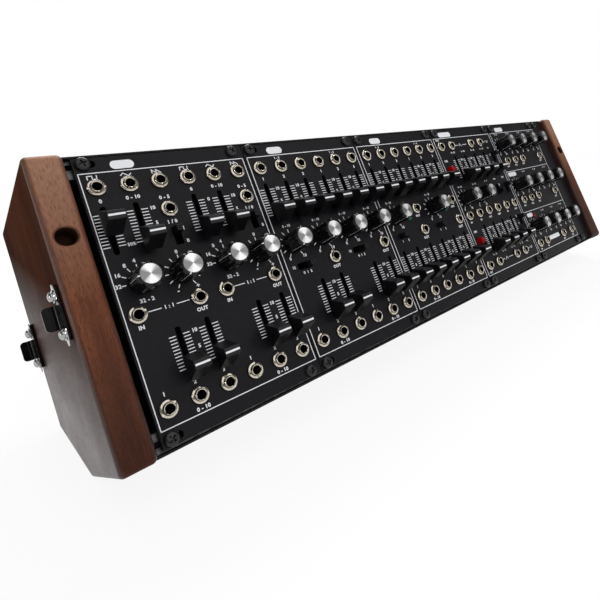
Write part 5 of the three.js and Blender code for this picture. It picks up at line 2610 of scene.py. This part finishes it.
@dataclass(frozen=True)
class SideCatches:
    """The two bent plates on the left end, each on bright ears with two domed screws."""

    bench: Bench
    face: float = -17.62
    middle: float = 65.2
    length: float = 22.5
    width: float = 8.2
    sheet: float = 1.2
    tab_length: float = 9.9
    tab_drop: float = 0.7
    reach: float = 6.4
    bend: float = 2.4
    corner: float = 1.7
    spacing: float = 15.4
    ear_length: float = 4.9
    ear_half: float = 2.6
    ear_sheet: float = 0.35
    washer_radius: float = 2.7
    washer_height: float = 0.5
    dome_radius: float = 2.15
    dome_foot: float = 0.9
    dome_height: float = 2.3

    def build(self) -> None:
        """Builds the front and the rear catch."""
        for name, edge in (("front_side_catch", 0.4), ("rear_side_catch", -79.8)):
            self._plate(name, edge)
            self._screws(name, edge)

    def _turned(self, axes: Sequence[Sequence[float]], lift: float, y: float, out: float) -> Matrix:
        """Gives the matrix of a shape that is turned on the left end.

        Args:
            axes: what the shape's own axes become, row by row.
            lift: how far off the wood it starts.
            y: its height on the panels.
            out: its distance out of the panels.

        Returns:
            The matrix.
        """
        turn = Matrix(axes).to_4x4()
        turn.translation = (self.face - lift, y, out)
        return self.bench.space.at() @ turn

    def _aimed(self, y: float, out: float, lift: float) -> Matrix:
        """Gives the matrix of something that points out of the left end."""
        return self._turned(((0, 0, -1), (0, 1, 0), (1, 0, 0)), lift, y, out)

    def _plate(self, name: str, edge: float) -> None:
        """Builds one plate, its bend and its tab.

        Args:
            name: the frame's node.
            edge: where the plate's front edge lies.
        """
        root = edge - self.width
        centre = self.bend + self.sheet
        start, half = root + centre, self.tab_length / 2
        low = self.middle - self.tab_drop - half
        levels = eased(0, self.sheet, 0.2)
        work = MeshWork()
        plate = rounded((start + edge) / 2, 0, edge - start, self.length, 1.2, 4)
        work.prism(plate, levels, self._aimed(self.middle, 0, 0))
        bend = [
            (0.02, self.width - 1.0),
            *arc(centre, centre, centre - 0.02, math.pi, 3 * QUARTER, 12),
            *arc(centre, centre, self.bend, 3 * QUARTER, math.pi, 12),
            (self.sheet + 0.01, self.width - 1.0),
        ]
        upward = self._turned(((-1, 0, 0), (0, 0, 1), (0, 1, 0)), 0, low, root)
        work.prism(bend, eased(0, self.tab_length, 0.2), upward)
        corners = [
            (centre - 0.05, -half, 0.05), (self.reach, -half, self.corner),
            (self.reach, half, self.corner), (centre - 0.05, half, 0.05),
        ]
        flat = self._turned(((-1, 0, 0), (0, 1, 0), (0, 0, 1)), 0, low + half, root)
        work.prism(rounded_corners(corners, 6), levels, flat)
        self.bench.piece(work, f"{name}_plate", self.bench.paints.catch, nodes=[name])

    def _screws(self, name: str, edge: float) -> None:
        """Builds one catch's bright ears, washers and domed screws.

        Args:
            name: the frame's node.
            edge: where the plate's front edge lies.
        """
        work = MeshWork()
        out = edge - (self.width - self.bend - self.sheet) / 2
        lift = self.sheet + 0.01
        washer, neck, high = self.washer_radius, self.dome_radius - 0.35, self.washer_height
        profile = [
            (0, 0), (washer, 0), (washer, high - 0.12), (washer - 0.12, high),
            (neck, high), (neck, 0.75), (self.dome_radius, 0.8),
            *dome(self.dome_radius, self.dome_foot, self.dome_height),
        ]
        wide = self.ear_half
        for side in (-1, 1):
            y = self.middle - self.tab_drop + side * self.spacing / 2
            tip, near, far = side * self.ear_length, -side * 1.6, side * 1.4
            ear = [(-wide, near), (wide, near), (wide, far), (0.9, tip), (-0.9, tip), (-wide, far)]
            work.prism(ear, eased(0, self.ear_sheet, 0.1, 1), self._aimed(y, out, lift))
            work.lathe(profile, 40, self._aimed(y, out, lift + self.ear_sheet + 0.01))
        self.bench.piece(work, f"{name}_screws", self.bench.paints.chrome)


# Studio


@dataclass(frozen=True)
class CameraView:
    """The photograph's viewpoint."""

    place: Corner = (-0.2711, -0.2453, 0.1626)
    forward: Corner = (0.7056, 0.6609, -0.2557)
    up: Corner = (0.1875, 0.1739, 0.9668)
    lens: float = 29.45
    shift_x: float = -0.1539
    shift_y: float = -0.1223

    def build(self) -> None:
        """Makes the camera and gives it to the scene."""
        data = bpy.data.cameras.new("camera")
        data.sensor_width = 36.0
        data.lens = self.lens
        data.shift_x = self.shift_x
        data.shift_y = self.shift_y
        data.clip_start = 0.01
        camera = placed_object("camera", data)
        back = -Vector(self.forward).normalized()
        right = Vector(self.up).cross(back).normalized()
        axes = Matrix((right, back.cross(right), back)).transposed().to_4x4()
        camera.matrix_world = Matrix.Translation(self.place) @ axes
        bpy.context.scene.camera = camera


@dataclass(frozen=True)
class SoftLight:
    """One soft lamp, aimed at a point."""

    name: str
    place: Corner
    aim: Corner
    size: float
    power: float
    stretch: float = 1.0

    def build(self) -> None:
        """Makes the lamp."""
        data = bpy.data.lights.new(self.name, "AREA")
        data.shape = "ELLIPSE"
        data.size = self.size * self.stretch
        data.size_y = self.size
        data.energy = self.power
        lamp = placed_object(self.name, data)
        lamp.location = self.place
        aim = Vector(self.aim) - Vector(self.place)
        lamp.rotation_euler = aim.to_track_quat("-Z", "Y").to_euler()


@dataclass(frozen=True)
class Studio:
    """Pale floor, white surroundings to the camera, and soft light."""

    ambient: float = 0.4
    overhead: float = 0.2
    fade_low: float = 0.18
    fade_high: float = 0.3
    floor_size: float = 12.0
    floor_drop: float = 0.0002
    lights: tuple[SoftLight, ...] = (
        SoftLight("key", (0.15, -0.75, 1.15), (0.0, 0.0, 0.06), 2.0, 11.0),
        SoftLight("rear", (0.2, 0.7, 1.05), (0.0, 0.0, 0.06), 0.5, 16.0, 2.6),
        SoftLight("side", (-1.35, -0.12, 0.33), (-0.22, 0.0, 0.06), 0.12, 1.12),
    )

    def build(self, paints: Paintbox) -> None:
        """Builds the studio.

        Args:
            paints: the object's materials.
        """
        self._world()
        self._floor(paints.floor)
        for light in self.lights:
            light.build()
        bpy.context.scene.view_settings.view_transform = "Standard"

    def _world(self) -> None:
        """Makes the surroundings: white at the horizon and greyer overhead where seen."""
        world = bpy.data.worlds.new("studio")
        world.use_nodes = True
        bpy.context.scene.world = world
        world.node_tree.nodes.clear()
        tree = NodeTree(world.node_tree)
        height = tree.split(tree.place("Generated"))["Z"]
        sky = tree.range(height, self.fade_low, self.fade_high, 1.0, self.overhead)
        strength = tree.range(tree.seen_rays(), 0.0, 1.0, self.ambient, sky)
        inputs = {"Color": (1, 1, 1, 1), "Strength": strength}
        light = tree.add("ShaderNodeBackground", inputs)
        tree.add("ShaderNodeOutputWorld", {0: light.outputs[0]})

    def _floor(self, material: bpy.types.Material) -> None:
        """Makes the floor.

        Args:
            material: what it is made of.
        """
        half = self.floor_size / 2
        corners = [(x * half, y * half, 0) for x, y in ((-1, -1), (1, -1), (1, 1), (-1, 1))]
        mesh = bpy.data.meshes.new("floor")
        mesh.from_pydata(corners, [], [(0, 1, 2, 3)])
        mesh.materials.append(material)
        floor = placed_object("floor", mesh)
        floor.location.z = -self.floor_drop


def main() -> None:
    """Builds the synthesizer, its studio and its camera."""
    logging.basicConfig(level=logging.INFO, format="%(name)s: %(message)s")
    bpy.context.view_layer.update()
    CameraView().build()
    paints = Paintbox(Effects())
    Studio().build(paints)
    space = PanelSpace.from_knob("oscillator_knob_1_turn", RANGE_KNOB, ROWS.knob)
    bench = Bench(space, paints)
    for index, layout in enumerate(LAYOUTS):
        Module(layout, index, bench).build()
    for assembly in (BlankPanel(bench), WoodEnds(bench), Case(bench), SideCatches(bench)):
        assembly.build()
    log.info("%d pieces made", bench.made)


if __name__ == "__main__":
    main()
